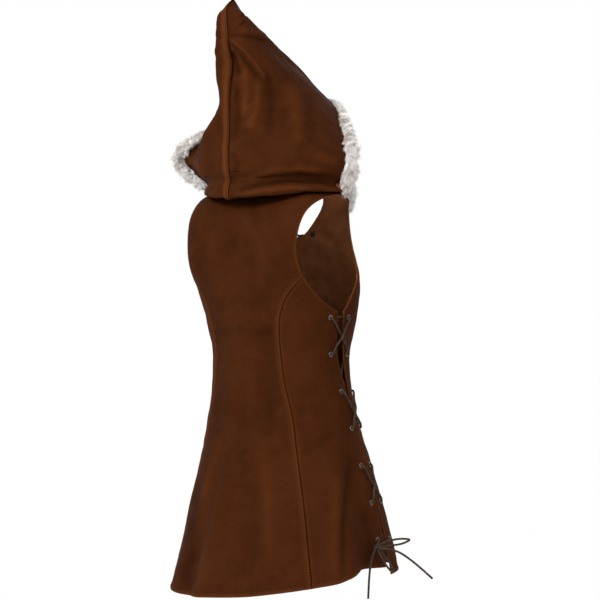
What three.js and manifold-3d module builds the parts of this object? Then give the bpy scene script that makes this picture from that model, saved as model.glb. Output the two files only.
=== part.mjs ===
// A hooded leather tunic, worn by nobody, in millimetres. +Z is up, +Y is behind the wearer and +X is the wearer's
// left. The origin is the middle of the neckline at shoulder height, where the wearer's shoulders carry the garment.
// Angles run around the body from the centre back: 90 is the wearer's right side, -90 the left, 180 the centre front.
import * as THREE from 'three';
import { mergeVertices } from 'three/addons/utils/BufferGeometryUtils.js';
import Module from 'manifold-3d';

const wasm = await Module();
wasm.setup();

// ---- driving dimensions ----
const LEATHER = 2.0; // thickness of the leather
const SEAM_GAP = 0.3; // between two pieces that are sewn together
const HEM_LEVEL = -770; // height at which the folds are fully open
const NECK_LEVEL = 25; // key of the section that is the neckline
const HOOD_FRONT_ANGLE = 123; // where the hood's lower front corner meets the neckline
const EYELET_HOLE = 3.9; // radius of the hole in the leather
const EYELET_BARREL = 3.15; // radius outside the barrel that lines the hole
const EYELET_BORE = 2.6; // radius inside the barrel
const EYELET_RIM = 5.5; // radius of the rolled rim
const EYELET_SEAT = 0.95; // from the leather to the underside of the rim, which spans the panel's facets
const EYELET_PROUD = 1.6; // height of the rim above the leather
const EYELET_SIDES = 8;
const EYELET_INSET = { back: 20, front: 16 }; // from a laced edge to the middle of an eyelet
const SIDE_EYELETS = 7; // on each laced edge
const SIDE_EYELET_TOP = -226; // level of the highest pair
const SIDE_EYELET_PITCH = 73;
const NECK_EYELET_ANGLE = 149; // the pair of eyelets under the neckline for its tie
const NECK_EYELET_LEVEL = -5;
const STOPPER = 4.6; // radius of the knot that keeps a neck tie's end behind its eyelet
const LACE_RADIUS = 2.1;
const LACE_OVER = 4; // from the leather's outer face to the middle of a lace that lies on an eyelet's rim
const LACE_UNDER = -5.3; // the same behind the leather
const LACE_CROSS = 4.9; // what the upper lace rises where two cross
const HOOD_LIFT = 0.5; // from the neckline up to the hood's lower edge

const rad = THREE.MathUtils.degToRad;
const mix = THREE.MathUtils.lerp;

// Cubic through the rows of a table: `key` is the column that runs, `name` the column that is read.
function smooth(table, key, name, at) {
  const last = table.length - 1;
  let i = 0;
  while (i < last - 1 && at > table[i + 1][key]) i++;
  const slope = (k) => {
    const lo = table[Math.max(k - 1, 0)];
    const hi = table[Math.min(k + 1, last)];
    return (hi[name] - lo[name]) / (hi[key] - lo[key]);
  };
  const [p, q] = [table[i], table[i + 1]];
  const step = q[key] - p[key];
  const t = THREE.MathUtils.clamp((at - p[key]) / step, 0, 1);
  const [t2, t3] = [t * t, t * t * t];
  return (2 * t3 - 3 * t2 + 1) * p[name] + (t3 - 2 * t2 + t) * step * slope(i)
    + (3 * t2 - 2 * t3) * q[name] + (t3 - t2) * step * slope(i + 1);
}

const asRows = (names, rows) => rows.map((row) => Object.fromEntries(names.map((name, i) => [name, row[i]])));

// ---- the body of the tunic ----
// Sections from hem to neckline: half width, depth to the back and to the front, how square each half is (2 is an
// ellipse), and the height at the back, side and front.
const SECTIONS = asRows(
  ['level', 'side', 'back', 'front', 'backSquare', 'frontSquare', 'backZ', 'sideZ', 'frontZ'], [
    [-790, 244, 200, 236, 2.0, 2.0, -790, -790, -790],
    [-680, 224, 163, 206, 2.0, 2.1, -680, -680, -680],
    [-592, 203, 145, 180, 2.1, 2.2, -592, -592, -592],
    [-492, 179, 122, 148, 2.1, 2.3, -492, -492, -492],
    [-392, 157, 115, 118, 2.1, 2.4, -392, -392, -392],
    [-332, 148, 114, 108, 2.1, 2.5, -332, -332, -332],
    [-292, 149, 115, 110, 2.1, 2.5, -292, -292, -292],
    [-252, 156, 120, 113, 2.2, 2.6, -252, -252, -252],
    [-212, 164, 123, 116, 2.4, 2.7, -212, -212, -212],
    [-172, 169, 125, 117, 2.9, 2.8, -172, -172, -172],
    [-132, 175, 127, 104, 3.9, 2.6, -132, -132, -132],
    [-92, 176, 126, 90, 5.0, 2.35, -92, -92, -102],
    [-42, 174, 122, 74, 5.0, 2.35, -42, -42, -84],
    [-14, 171, 114, 64, 4.3, 2.5, -16, -8, -75],
    [8, 163, 97, 58, 3.2, 3.0, 3, 19, -69],
    [NECK_LEVEL, 96, 80, 54, 2.3, 3.1, 14, 36, -65],
  ]);

// Standing folds of the flared skirt: angle, half width in degrees and height at the hem.
const FOLDS = asRows(['angle', 'width', 'height'], [
  [-152, 15, 7], [-120, 11, 9], [-97, 9, -14], [-78, 10, 11], [-46, 12, 5], [-26, 9, -9], [-9, 9, 8],
  [20, 14, -3], [48, 12, 4], [79, 9, 15], [94, 8, -17], [121, 11, 11], [152, 15, 7], [180, 12, -5],
]);
const FOLD_TOP = -400; // the folds die out at this level

// Height of the hem round the body, behind and before the lacings, where the panels' corners part.
const HEM = asRows(['angle', 'z'], [
  [-108, -722], [-94, -726], [-86, -733], [-76, -748], [-60, -764], [-46, -771], [-30, -776], [0, -774], [25, -769],
  [44, -760], [62, -750], [72, -743], [78, -734], [86, -723], [94, -719], [108, -718],
]);
const HEM_FRONT = asRows(['angle', 'z'], [[108, -733], [126, -724], [150, -722], [180, -728], [210, -722], [234, -724],
  [252, -733]]);

function foldHeight(angle, level) {
  const reach = THREE.MathUtils.clamp((FOLD_TOP - level) / (FOLD_TOP - HEM_LEVEL), 0, 1.1);
  let sum = 0;
  for (const fold of FOLDS) {
    const away = THREE.MathUtils.euclideanModulo(angle - fold.angle + 180, 360) - 180;
    sum += fold.height * Math.exp(-((away / fold.width) ** 2));
  }
  return sum * reach * reach * (3 - 2 * Math.min(reach, 1));
}

// A point of the tunic's outer face.
function bodyPoint(angle, level) {
  const row = (name) => smooth(SECTIONS, 'level', name, level);
  const s = Math.sin(rad(angle));
  const c = Math.cos(rad(angle));
  const behind = c >= 0;
  const square = row(behind ? 'backSquare' : 'frontSquare');
  const across = Math.abs(s) / row('side');
  const along = Math.abs(c) / row(behind ? 'back' : 'front');
  const radius = (across ** square + along ** square) ** (-1 / square) + foldHeight(angle, level);
  const z = mix(row('sideZ'), row(behind ? 'backZ' : 'frontZ'), Math.abs(c) ** (behind ? 1.6 : 1.3));
  return new THREE.Vector3(-radius * s, radius * c, z);
}

function bodyNormal(angle, level) {
  const [da, dl] = [0.5, 1];
  const round = bodyPoint(angle + da, level).sub(bodyPoint(angle - da, level));
  const up = bodyPoint(angle, Math.min(level + dl, NECK_LEVEL)).sub(bodyPoint(angle, level - dl));
  return round.cross(up).normalize();
}

// Seams and edges of one side as tables over the level; the other side mirrors them.
const BACK_PRINCESS = asRows(['level', 'angle'], [
  [-790, 60.6], [-700, 60.2], [-630, 59.4], [-548, 58], [-478, 56.2], [-425, 54.4], [-384, 51], [-344, 47.6],
  [-288, 44.6], [-255, 43.6], [-222, 44.4], [-185, 49], [-146, 59],
]);
const FRONT_PRINCESS = asRows(['level', 'angle'], [
  [-790, 146], [-600, 146], [-430, 144], [-332, 142], [-260, 147], [-215, 149], [-185, 138], [-160, 122], [-138, 108.5],
]);
const LACED_EDGES = asRows(['level', 'back', 'front'], [
  [-790, 107, 111.5], [-690, 109.5, 112], [-600, 111.8, 112.9], [-500, 109.4, 110.5], [-400, 106, 107.4],
  [-350, 101, 105.5], [-300, 94.5, 101.5], [-216, 88.6, 94],
]);
// The armhole from the underarm to the shoulder: behind the arm, then in front of it.
const SHOULDER_ANGLE = 88;
const ARMHOLE_BACK = asRows(['at', 'level', 'angle'], [
  [0, -216, 88.6], [1, -199, 77], [2, -176, 67.5], [3, -146, 59], [4, -116, 54.6], [5, -84, 53.8], [6, -42, 56.6],
  [7, -16, 62.5], [8, 0, 74], [9, 6, SHOULDER_ANGLE],
]);
const ARMHOLE_FRONT = asRows(['at', 'level', 'angle'], [
  [0, -216, 94], [1, -196, 98.5], [2, -168, 104], [3, -138, 108.5], [4, -104, 109], [5, -64, 107.5], [6, -30, 103.5],
  [7, -8, 97], [8, 6, SHOULDER_ANGLE],
]);
const BACK_JUNCTION = 3; // where the princess seams run into the armhole's two tables
const FRONT_JUNCTION = 3;

// ---- panels ----
const SEAM_ROWS = 12; // rows of a panel from the hem to the armhole
const ARM_ROWS = 7; // rows beside the armhole
const SHOULDER_STEPS = 3;
const rad2deg = THREE.MathUtils.radToDeg;

const steps = (n, from, to, fn) => Array.from({ length: n + 1 }, (_, i) => fn(mix(from, to, i / n)));

// The rows of a panel from its hem up, closer together towards the armhole, where the seams bend most.
const rising = (from, to, fn) => steps(SEAM_ROWS, 1, 0, (left) => fn(mix(from, to, 1 - left ** 1.4)));

// Half of the seam's gap as an angle at one point of the body, where the seam leans by `lean` degrees a millimetre.
function seamShift(angle, level, lean = 0) {
  const at = bodyPoint(angle, level);
  const radius = Math.hypot(at.x, at.y);
  return rad2deg((SEAM_GAP * 0.6 * Math.hypot(1, radius * rad(lean))) / radius);
}

// Paths of one side in (angle, level): `side` is 1 on the right and -1 on the left, and `off` moves a seam's edge
// forwards or backwards by half of its gap.
const seam = (table, side, off, hemTable) => rising(hemPoint(hemTable, side * table[0].angle)[1], tip(table).level, (level) => {
  const angle = smooth(table, 'level', 'angle', level);
  const lean = (smooth(table, 'level', 'angle', level + 5) - smooth(table, 'level', 'angle', level - 5)) / 10;
  return [side * (angle + off * seamShift(angle, level, lean)), level];
});
const lacedEdge = (name, side, hemTable) => rising(hemPoint(hemTable, side * 108)[1], tip(LACED_EDGES).level,
  (level) => [side * smooth(LACED_EDGES, 'level', name, level), level]);
const armhole = (table, side, count, from, to) => steps(count, from, to,
  (at) => [side * smooth(table, 'at', 'angle', at), smooth(table, 'at', 'level', at)]);
const hemPoint = (table, angle) => [angle, smooth(table, 'angle', 'z', angle)];
const hem = (table, count, from, to) => steps(count, from, to, (angle) => hemPoint(table, angle));
const tip = (table) => table[table.length - 1];
const mirrored = (points) => points.map(([angle, level]) => [-angle, level]);

// Points of (angle, level) spread over a panel between its four paths: straight across from its left to its right
// path, and bent towards the bottom and the top path near them.
function panelGrid({ bottom, top, left, right }) {
  const columns = bottom.length - 1;
  const rows = left.length - 1;
  const outer = [];
  const inner = [];
  for (let j = 0; j <= rows; j++) {
    const v = j / rows;
    for (let i = 0; i <= columns; i++) {
      const u = i / columns;
      const [angle, level] = [0, 1].map((k) => mix(left[j][k], right[j][k], u)
        + (1 - v) ** 2 * (bottom[i][k] - mix(bottom[0][k], bottom[columns][k], u))
        + v ** 4 * (top[i][k] - mix(top[0][k], top[columns][k], u)));
      const point = bodyPoint(angle, level);
      outer.push(point);
      inner.push(point.clone().addScaledVector(bodyNormal(angle, level), -LEATHER));
    }
  }
  return { outer, inner, columns, rows };
}

// Closes a grid of outer and inner points into a wall whose faces point out.
function wall({ outer, inner, columns, rows }, flip) {
  const across = columns + 1;
  const count = across * (rows + 1);
  const index = [];
  const quad = (a, b, c, d) => index.push(a, b, c, a, c, d);
  for (let j = 0; j < rows; j++) {
    for (let i = 0; i < columns; i++) {
      const a = j * across + i;
      quad(a, a + 1, a + 1 + across, a + across);
      quad(count + a, count + a + across, count + a + 1 + across, count + a + 1);
    }
  }
  const rim = [];
  for (let i = 0; i < columns; i++) rim.push(i);
  for (let j = 0; j < rows; j++) rim.push(j * across + columns);
  for (let i = columns; i > 0; i--) rim.push(rows * across + i);
  for (let j = rows; j > 0; j--) rim.push(j * across);
  rim.forEach((a, k) => {
    const b = rim[(k + 1) % rim.length];
    quad(b, a, count + a, count + b);
  });
  if (flip) index.reverse();
  return indexed([...outer, ...inner], index);
}

function indexed(points, index) {
  const geometry = new THREE.BufferGeometry();
  geometry.setAttribute('position', new THREE.Float32BufferAttribute(points.flatMap((p) => [p.x, p.y, p.z]), 3));
  geometry.setIndex(index);
  return geometry;
}

// The shoulder seam from the armhole up to the neckline, and the neckline from one angle to another.
const shoulder = (side, off) => steps(SHOULDER_STEPS, tip(ARMHOLE_BACK).level, NECK_LEVEL,
  (level) => [side * (SHOULDER_ANGLE + off * seamShift(SHOULDER_ANGLE, level)), level]);
const neckline = (count, from, to) => steps(count, from, to, (angle) => [angle, NECK_LEVEL]);

function backPanel() {
  const neckColumns = 8;
  const up = (side) => seam(BACK_PRINCESS, side, -1, HEM);
  const edge = (side) => [...up(side), ...armhole(ARMHOLE_BACK, side, ARM_ROWS, BACK_JUNCTION, ARMHOLE_BACK.length - 1).slice(1, -1),
    shoulder(side, -1)[0]];
  const end = shoulder(1, -1);
  const neckEnd = end[SHOULDER_STEPS][0];
  return panelGrid({
    bottom: hem(HEM, neckColumns + 2 * SHOULDER_STEPS, edge(-1)[0][0], edge(1)[0][0]),
    top: [...mirrored(end), ...neckline(neckColumns, -neckEnd, neckEnd).slice(1, -1), ...end.reverse()],
    left: edge(-1),
    right: edge(1),
  });
}

function backSidePanel(side) {
  const left = seam(BACK_PRINCESS, side, 1, HEM);
  const right = lacedEdge('back', side, HEM);
  const columns = 8;
  return panelGrid({
    bottom: hem(HEM, columns, left[0][0], right[0][0]),
    top: armhole(ARMHOLE_BACK, side, columns, BACK_JUNCTION, 0),
    left,
    right,
  });
}

// The front panels are laid out on the wearer's right; the left ones take 360 degrees less the same angle.
const acrossFront = (points) => points.map(([angle, level]) => [360 - angle, level]);

function frontSidePanel(side) {
  const left = lacedEdge('front', 1, HEM_FRONT);
  const right = seam(FRONT_PRINCESS, 1, -1, HEM_FRONT);
  const columns = 7;
  const paths = {
    bottom: hem(HEM_FRONT, columns, left[0][0], right[0][0]),
    top: armhole(ARMHOLE_FRONT, 1, columns, 0, FRONT_JUNCTION),
    left,
    right,
  };
  if (side < 0) for (const name of Object.keys(paths)) paths[name] = acrossFront(paths[name]);
  return panelGrid(paths);
}

function frontPanel() {
  const neckColumns = 10;
  const end = shoulder(1, 1);
  const left = [
    ...seam(FRONT_PRINCESS, 1, 1, HEM_FRONT),
    ...armhole(ARMHOLE_FRONT, 1, ARM_ROWS, FRONT_JUNCTION, ARMHOLE_FRONT.length - 1).slice(1, -1),
    end[0],
  ];
  const neckEnd = end[SHOULDER_STEPS][0];
  return panelGrid({
    bottom: hem(HEM_FRONT, neckColumns + 2 * SHOULDER_STEPS, left[0][0], 360 - left[0][0]),
    top: [...end, ...neckline(neckColumns, neckEnd, 360 - neckEnd).slice(1, -1), ...acrossFront(end).reverse()],
    left,
    right: acrossFront(left),
  });
}

// ---- hood ----
// Sections of the hood from the neckline up, for the right half: the back seam, two points behind, one at the side
// and one on the edge round the face. X is measured away from the middle.
const HOOD = asRows(
  ['row', 'backY', 'backZ', 'rearX', 'rearY', 'rearZ', 'wideX', 'wideY', 'wideZ',
    'sideX', 'sideY', 'sideZ', 'edgeX', 'edgeY', 'edgeZ'], [
    [1, 116, 11, 60, 101, 13, 124, 62, 26, 161, 2, 38, 97, -60, 4],
    [2, 144, 9, 78, 132, 11, 144, 78, 17, 185, 6, 20, 112, -60, 4],
    [3, 149, 20, 82, 137, 22, 149, 84, 28, 184, 18, 24, 136, -40, 17],
    [4, 147, 34, 80, 134, 37, 144, 84, 42, 172, 32, 34, 160, -8, 32],
    [5, 142, 43, 75, 126, 48, 133, 79, 52, 163, 38, 47, 172, 6, 43],
    [6, 147, 62, 84, 137, 64, 146, 90, 66, 177, 44, 62, 186, 9, 58],
    [7, 148, 92, 86, 138, 92, 150, 92, 92, 180, 45, 90, 190, 9, 88],
    [8, 146, 140, 72, 140, 140, 121, 92, 139, 148, 30, 138, 148, -29, 137],
    [9, 144, 195, 27, 144, 193, 76, 84, 192, 108, 0, 190, 80, -85, 187],
    [10, 144, 268, 36, 145, 262, 66, 78, 250, 62, -34, 230, 34, -116, 206],
    [11, 151, 340, 37, 143, 340, 40, 84, 312, 29, -20, 268, 12, -130, 212],
    [11.5, 153, 382, 28, 137, 374, 26, 77, 338, 18, -30, 279, 6, -133, 213],
    [12, 131, 404, 0, 97, 367, 0, 54, 327, 0, -50, 277, 0, -136, 213],
  ]);
// How far the left half lies from the mirror of the right one: it flares at the face and is tucked at the roll.
const LEFT_LIE = asRows(['row', 'edgeX', 'edgeY', 'edgeZ', 'rearX', 'rearY', 'wideX', 'wideY', 'sideX', 'sideY'], [
  [1, 0, 0, 0, 0, 0, 0, 0, 0, 0], [2, 0, 2, 2, -6, -8, -10, -7, 0, 0], [3, 2, 8, 6, -8, -9, -13, -8, 0, 2],
  [4, 4, 26, 6, -8, -8, -17, -8, -8, 4], [5, 8, 36, 9, 0, 0, -4, 0, 4, 10], [6, 10, 44, 10, 0, 0, 0, 0, 6, 16],
  [7, 17, 56, 10, 0, 0, 0, 0, 8, 24], [8, 16, 76, 0, 0, 0, 0, 0, 6, 20], [9, 14, 35, 0, 0, 0, 0, 0, 4, 8],
  [10, 4, 8, 0, 0, 0, 0, 0, 0, 0], [11, 0, 0, 0, 0, 0, 0, 0, 0, 0], [12, 0, 0, 0, 0, 0, 0, 0, 0, 0],
]);
const HOOD_STATIONS = [0, 0.3, 0.55, 0.8, 1];
// Columns of a hood half from the back seam to the face, and the angles at which they meet the neckline.
const HOOD_COLUMNS = asRows(['across', 'neck'], [
  [0, 0], [0.09, 8.8], [0.18, 17.6], [0.3, 35.2], [0.43, 52.8], [0.56, 70.4], [0.7, 88], [0.79, 95], [0.87, 102],
  [0.94, 112], [1, HOOD_FRONT_ANGLE],
]);

// The five points of one section of the hood, `left` being 1 on the left half.
function hoodSection(row, left) {
  const at = (name) => smooth(HOOD, 'row', name, row);
  const lie = (name) => left * smooth(LEFT_LIE, 'row', name, row);
  return [
    new THREE.Vector3(0, at('backY'), at('backZ')),
    new THREE.Vector3(at('rearX') + lie('rearX'), at('rearY') + lie('rearY'), at('rearZ')),
    new THREE.Vector3(at('wideX') + lie('wideX'), at('wideY') + lie('wideY'), at('wideZ')),
    new THREE.Vector3(at('sideX') + lie('sideX'), at('sideY') + lie('sideY'), at('sideZ')),
    new THREE.Vector3(at('edgeX') + lie('edgeX'), at('edgeY') + lie('edgeY'), at('edgeZ') + lie('edgeZ')),
  ];
}

// A point of the hood's outer face: `across` runs from the back seam to the face, `row` from the neckline up.
function hoodPoint(across, row, left) {
  if (row < 1) {
    const neck = bodyPoint(-smooth(HOOD_COLUMNS, 'across', 'neck', across), NECK_LEVEL);
    neck.z += HOOD_LIFT;
    return neck.lerp(hoodPoint(across, 1, left), row);
  }
  const points = hoodSection(row, left);
  const table = points.map((p, i) => ({ at: HOOD_STATIONS[i], x: p.x, y: p.y, z: p.z }));
  const [x, y, z] = ['x', 'y', 'z'].map((name) => smooth(table, 'at', name, across));
  return new THREE.Vector3(Math.max(x, 0), y, z);
}

function hoodNormal(across, row, left) {
  const [da, dr] = [0.01, 0.04];
  const over = hoodPoint(Math.min(across + da, 1), row, left).sub(hoodPoint(Math.max(across - da, 0), row, left));
  const up = hoodPoint(across, Math.min(row + dr, 12), left).sub(hoodPoint(across, Math.max(row - dr, 0), left));
  const normal = up.cross(over).normalize();
  if (across === 0 || row >= 12) {
    normal.x = 0;
    normal.normalize();
  }
  return normal;
}

const HOOD_ROWS = [0, 0.6, 1, 1.5, 2, 2.5, 3, 3.5, 4, 4.5, 5, 5.5, 6, 7, 8, 8.5, 9, 9.5, 10, 10.5, 11, 11.5, 12];

// The way from the leather across the hood's edge into the face opening.
const hoodAhead = (row, left) => hoodPoint(1, row, left).sub(hoodPoint(0.94, row, left)).normalize();

// One half of the hood; `extra` thickens the leather all round.
function hoodHalf(side, extra = 0) {
  const left = side < 0 ? 1 : 0;
  const outer = [];
  const inner = [];
  for (const row of HOOD_ROWS) {
    for (const { across } of HOOD_COLUMNS) {
      const normal = hoodNormal(across, row, left);
      const point = hoodPoint(across, row, left).addScaledVector(normal, extra);
      if (across === 1) point.addScaledVector(hoodAhead(row, left), extra);
      const under = point.clone().addScaledVector(normal, -LEATHER - 2 * extra);
      for (const [p, list] of [[point, outer], [under, inner]]) {
        list.push(new THREE.Vector3(-side * Math.max(p.x, SEAM_GAP / 2), p.y, p.z));
      }
    }
  }
  return { outer, inner, columns: HOOD_COLUMNS.length - 1, rows: HOOD_ROWS.length - 1 };
}

// Which way the fur stands at each row of the hood's edge (ahead of the leather, out of it, away from the neck, down),
// and half of its width and thickness there.
const FUR_LIE = asRows(['row', 'ahead', 'out', 'away', 'down', 'reach', 'thick'], [
  [1.2, 0.2, 0, 1, 1.3, 14, 8], [2, 0.5, 0, 0.9, 0.3, 15, 11], [3, 0.6, 0.1, 0.5, 0, 15, 12],
  [4.5, 0.66, 0.6, 0.1, 0, 15, 12], [6, 0.66, 0.75, 0, 0, 16, 12], [7, 0.7, 0.7, 0, 0, 15, 12],
  [8, 0.85, 0.5, 0, 0, 12, 11], [9.5, 1, 0.2, 0, 0.1, 10, 9], [10.5, 1, 0, 0, 0.2, 9, 7], [12, 1, 0, 0, 0.2, 8, 6],
]);

// The fur round the face: an oval strip that follows the hood's edge from one lower corner to the other.
function furStrip() {
  const rows = [4, 5.2, 6.4, 7.5, 8.5, 9.5, 10.5, 11.3];
  const station = (row, side) => {
    const left = side < 0 ? 1 : 0;
    const edge = hoodPoint(1, row, left);
    const weight = (name) => smooth(FUR_LIE, 'row', name, row);
    const out = hoodAhead(row, left).multiplyScalar(weight('ahead'))
      .addScaledVector(hoodNormal(1, row, left), weight('out'))
      .addScaledVector(new THREE.Vector3(edge.x, edge.y, 0).normalize(), weight('away'))
      .add(new THREE.Vector3(0, 0, -weight('down')))
      .normalize();
    const place = (v) => new THREE.Vector3(-side * v.x, v.y, v.z);
    return { edge: place(edge), out: place(out), reach: weight('reach'), thick: weight('thick') };
  };
  const top = station(12, 1);
  top.edge.x = 0;
  top.out.x = 0;
  top.out.normalize();
  const rings = [
    ...[1.2, 2.1, 3, ...rows].map((row) => station(row, 1)),
    top,
    ...[...rows].reverse().map((row) => station(row, -1)),
    ...[3, 2.1, 1.2].map((row) => station(row, -1)),
  ];
  const centres = rings.map(({ edge, out, reach }) => edge.clone().addScaledVector(out, reach + 1));
  const sides = 8;
  const points = [];
  centres.forEach((centre, k) => {
    const ahead = centres[Math.min(k + 1, centres.length - 1)].clone().sub(centres[Math.max(k - 1, 0)]).normalize();
    const out = rings[k].out.clone().addScaledVector(ahead, -rings[k].out.dot(ahead)).normalize();
    const across = ahead.clone().cross(out);
    const end = Math.min(k, centres.length - 1 - k);
    const size = end === 0 ? 0.55 : 1;
    for (let i = 0; i < sides; i++) {
      const a = (2 * Math.PI * i) / sides;
      points.push(centre.clone()
        .addScaledVector(out, rings[k].reach * size * Math.cos(a))
        .addScaledVector(across, rings[k].thick * size * Math.sin(a)));
    }
  });
  // What the leather takes up, with the seam's gap round it, is left free.
  let fur = solid(ringsBody(points, sides));
  for (const side of [1, -1]) fur = fur.subtract(solid(wall(hoodHalf(side, 2.2 * SEAM_GAP), side < 0)));
  const largest = fur.decompose().sort((a, b) => b.volume() - a.volume())[0];
  return fromSolid(largest);
}

// A closed body through rings of points, with fans at the two ends.
function ringsBody(points, sides) {
  const count = points.length / sides;
  const index = [];
  for (let k = 0; k < count - 1; k++) {
    for (let i = 0; i < sides; i++) {
      const [a, b] = [k * sides + i, k * sides + ((i + 1) % sides)];
      index.push(a, b, b + sides, a, b + sides, a + sides);
    }
  }
  const last = (count - 1) * sides;
  for (let i = 1; i < sides - 1; i++) index.push(0, i + 1, i, last, last + i, last + i + 1);
  return indexed(points, index);
}

// ---- eyelets ----
// A frame on the leather: a point, the way out of the leather and the way forwards round the body.
function spot(angle, level, side) {
  const at = bodyPoint(side * angle, level);
  const out = bodyNormal(side * angle, level);
  return { at, out };
}
const raised = ({ at, out }, height) => at.clone().addScaledVector(out, height);

// The middles of all eyelets of one laced opening, by edge and row; the row that carries the bow is the last.
function sideEyelets(side) {
  return ['back', 'front'].map((edge) => Array.from({ length: SIDE_EYELETS }, (_, row) => {
    const level = SIDE_EYELET_TOP - row * SIDE_EYELET_PITCH;
    const away = edge === 'back' ? -1 : 1;
    const edgeAngle = smooth(LACED_EDGES, 'level', edge, level);
    const rim = bodyPoint(edgeAngle, level);
    const angle = edgeAngle + away * rad2deg(EYELET_INSET[edge] / Math.hypot(rim.x, rim.y));
    return { angle: side * angle, level };
  }));
}
const neckEyelet = (side) => (
  { angle: side > 0 ? NECK_EYELET_ANGLE : 360 - NECK_EYELET_ANGLE, level: NECK_EYELET_LEVEL });

// Turns a geometry made about +Y so that it stands on the leather at a spot.
function seated(geometry, { at, out }) {
  const turn = new THREE.Quaternion().setFromUnitVectors(new THREE.Vector3(0, 1, 0), out);
  return geometry.applyQuaternion(turn).translate(at.x, at.y, at.z);
}

function eyelet({ angle, level }) {
  const tail = -LEATHER - 0.8;
  const profile = [
    [EYELET_BORE, tail], [EYELET_BARREL, tail], [EYELET_BARREL, EYELET_SEAT], [EYELET_RIM, EYELET_SEAT],
    [EYELET_BORE, EYELET_PROUD], [EYELET_BORE, tail],
  ].map(([x, y]) => new THREE.Vector2(x, y));
  return seated(closed(new THREE.LatheGeometry(profile, EYELET_SIDES)), spot(angle, level, 1));
}

// The same geometry with its shared points merged and only its positions left.
function closed(geometry) {
  geometry.deleteAttribute('normal');
  geometry.deleteAttribute('uv');
  return mergeVertices(geometry, 1e-4);
}

function solid(geometry) {
  return new wasm.Manifold(new wasm.Mesh({
    numProp: 3,
    vertProperties: new Float32Array(geometry.getAttribute('position').array),
    triVerts: new Uint32Array(geometry.index.array),
  }));
}
function fromSolid(manifold) {
  const mesh = manifold.getMesh();
  const geometry = new THREE.BufferGeometry();
  geometry.setAttribute('position', new THREE.BufferAttribute(mesh.vertProperties, 3));
  geometry.setIndex(new THREE.BufferAttribute(mesh.triVerts, 1));
  return geometry;
}

// A panel with a round hole through it for each eyelet.
function punched(geometry, eyelets) {
  let cut = solid(geometry);
  for (const { angle, level } of eyelets) {
    const punch = new THREE.CylinderGeometry(EYELET_HOLE, EYELET_HOLE, 4 * LEATHER, EYELET_SIDES);
    cut = cut.subtract(solid(seated(closed(punch), spot(angle, level, 1))));
  }
  return fromSolid(cut);
}

// ---- laces ----
// A path through hand-placed points, so that an extruded tube has one step from each point to the next.
class Route extends THREE.Curve {
  constructor(points) {
    super();
    this.points = points;
  }

  getPoint(t) {
    const place = t * (this.points.length - 1);
    const i = Math.min(Math.floor(place), this.points.length - 2);
    return this.points[i].clone().lerp(this.points[i + 1], place - i);
  }

  getPointAt(t) {
    return this.getPoint(t);
  }

  getTangentAt(t) {
    const place = Math.round(t * (this.points.length - 1));
    const before = this.points[Math.max(place - 1, 0)];
    const here = this.points[place];
    const after = this.points[Math.min(place + 1, this.points.length - 1)];
    const coming = here.clone().sub(before).normalize();
    return after.clone().sub(here).normalize().add(coming).normalize();
  }
}

function tube(points, radius, sides) {
  const section = new THREE.Shape(steps(sides - 1, 0, 2 * Math.PI * (1 - 1 / sides),
    (a) => new THREE.Vector2(radius * Math.cos(a), radius * Math.sin(a))));
  const options = { steps: points.length - 1, extrudePath: new Route(points), bevelEnabled: false };
  return closed(new THREE.ExtrudeGeometry(section, options));
}
const curved = (points, count) => new THREE.CatmullRomCurve3(points, false, 'centripetal').getSpacedPoints(count);

// The lace of one opening, from the bow through every eyelet and back: it crosses outside between the first two
// rows, inside between the next two, and so on, and runs straight across behind the first row.
function heldLace(eyelets, bow) {
  const rows = eyelets[0].length;
  const visits = [];
  for (let row = rows - 1; row >= 0; row--) visits.push({ edge: (rows - 1 - row) % 2, row, lift: 0 });
  for (let row = 0; row < rows; row++) visits.push({ edge: (rows - row) % 2, row, lift: LACE_CROSS });
  const at = ({ edge, row }) => eyelets[edge][row];
  const outside = (a, b) => a.row !== b.row && Math.min(a.row, b.row) % 2 === 0;
  const points = [bow.middle];
  let height = LACE_OVER;
  visits.forEach((visit, i) => {
    const here = at(visit);
    points.push(raised(spot(here.angle, here.level, 1), height));
    height = height === LACE_OVER ? LACE_UNDER : LACE_OVER;
    points.push(raised(spot(here.angle, here.level, 1), height));
    const next = visits[i + 1];
    if (!next) return;
    const there = at(next);
    const over = outside(visit, next);
    if (over !== (height === LACE_OVER)) throw new Error('the lace is on the wrong side of the leather');
    for (const part of next.lift === 0 ? [0.5] : [0.25, 0.5, 0.75]) {
      const bump = next.row === visit.row ? 0 : next.lift * (part === 0.5 ? 1 : 0.35);
      const place = spot(mix(here.angle, there.angle, part), mix(here.level, there.level, part), 1);
      points.push(raised(place, height + Math.sign(height) * bump));
    }
  });
  points.push(bow.middle);
  return tube(points, LACE_RADIUS, 6);
}

// One half of the neckline's tie: a stopper knot behind the eyelet, and the lace through it and on to the bow.
function neckTie(place, bow) {
  const at = spot(place.angle, place.level, 1);
  const behind = raised(at, -LEATHER - 1.2 - STOPPER);
  const route = [behind, raised(at, LACE_UNDER + 2), raised(at, LACE_OVER), bow.middle];
  const knot = closed(new THREE.SphereGeometry(STOPPER, 8, 6).translate(...behind.toArray()));
  return fromSolid(solid(tube(route, LACE_RADIUS, 6)).add(solid(knot)));
}

// Where a bow is tied: its middle, and steps from it forwards round the body, out of the leather and up.
function bowPlace({ angle, level, height }) {
  const { at, out } = spot(angle, level, 1);
  const flatOut = new THREE.Vector3(out.x, out.y, 0).normalize();
  const ahead = new THREE.Vector3(0, 0, 1).cross(flatOut).multiplyScalar(Math.sign(angle));
  const middle = at.addScaledVector(flatOut, height);
  const step = ([forward, outward, up]) => middle.clone().addScaledVector(ahead, forward)
    .addScaledVector(flatOut, outward).add(new THREE.Vector3(0, 0, up));
  return { middle, step };
}

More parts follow.
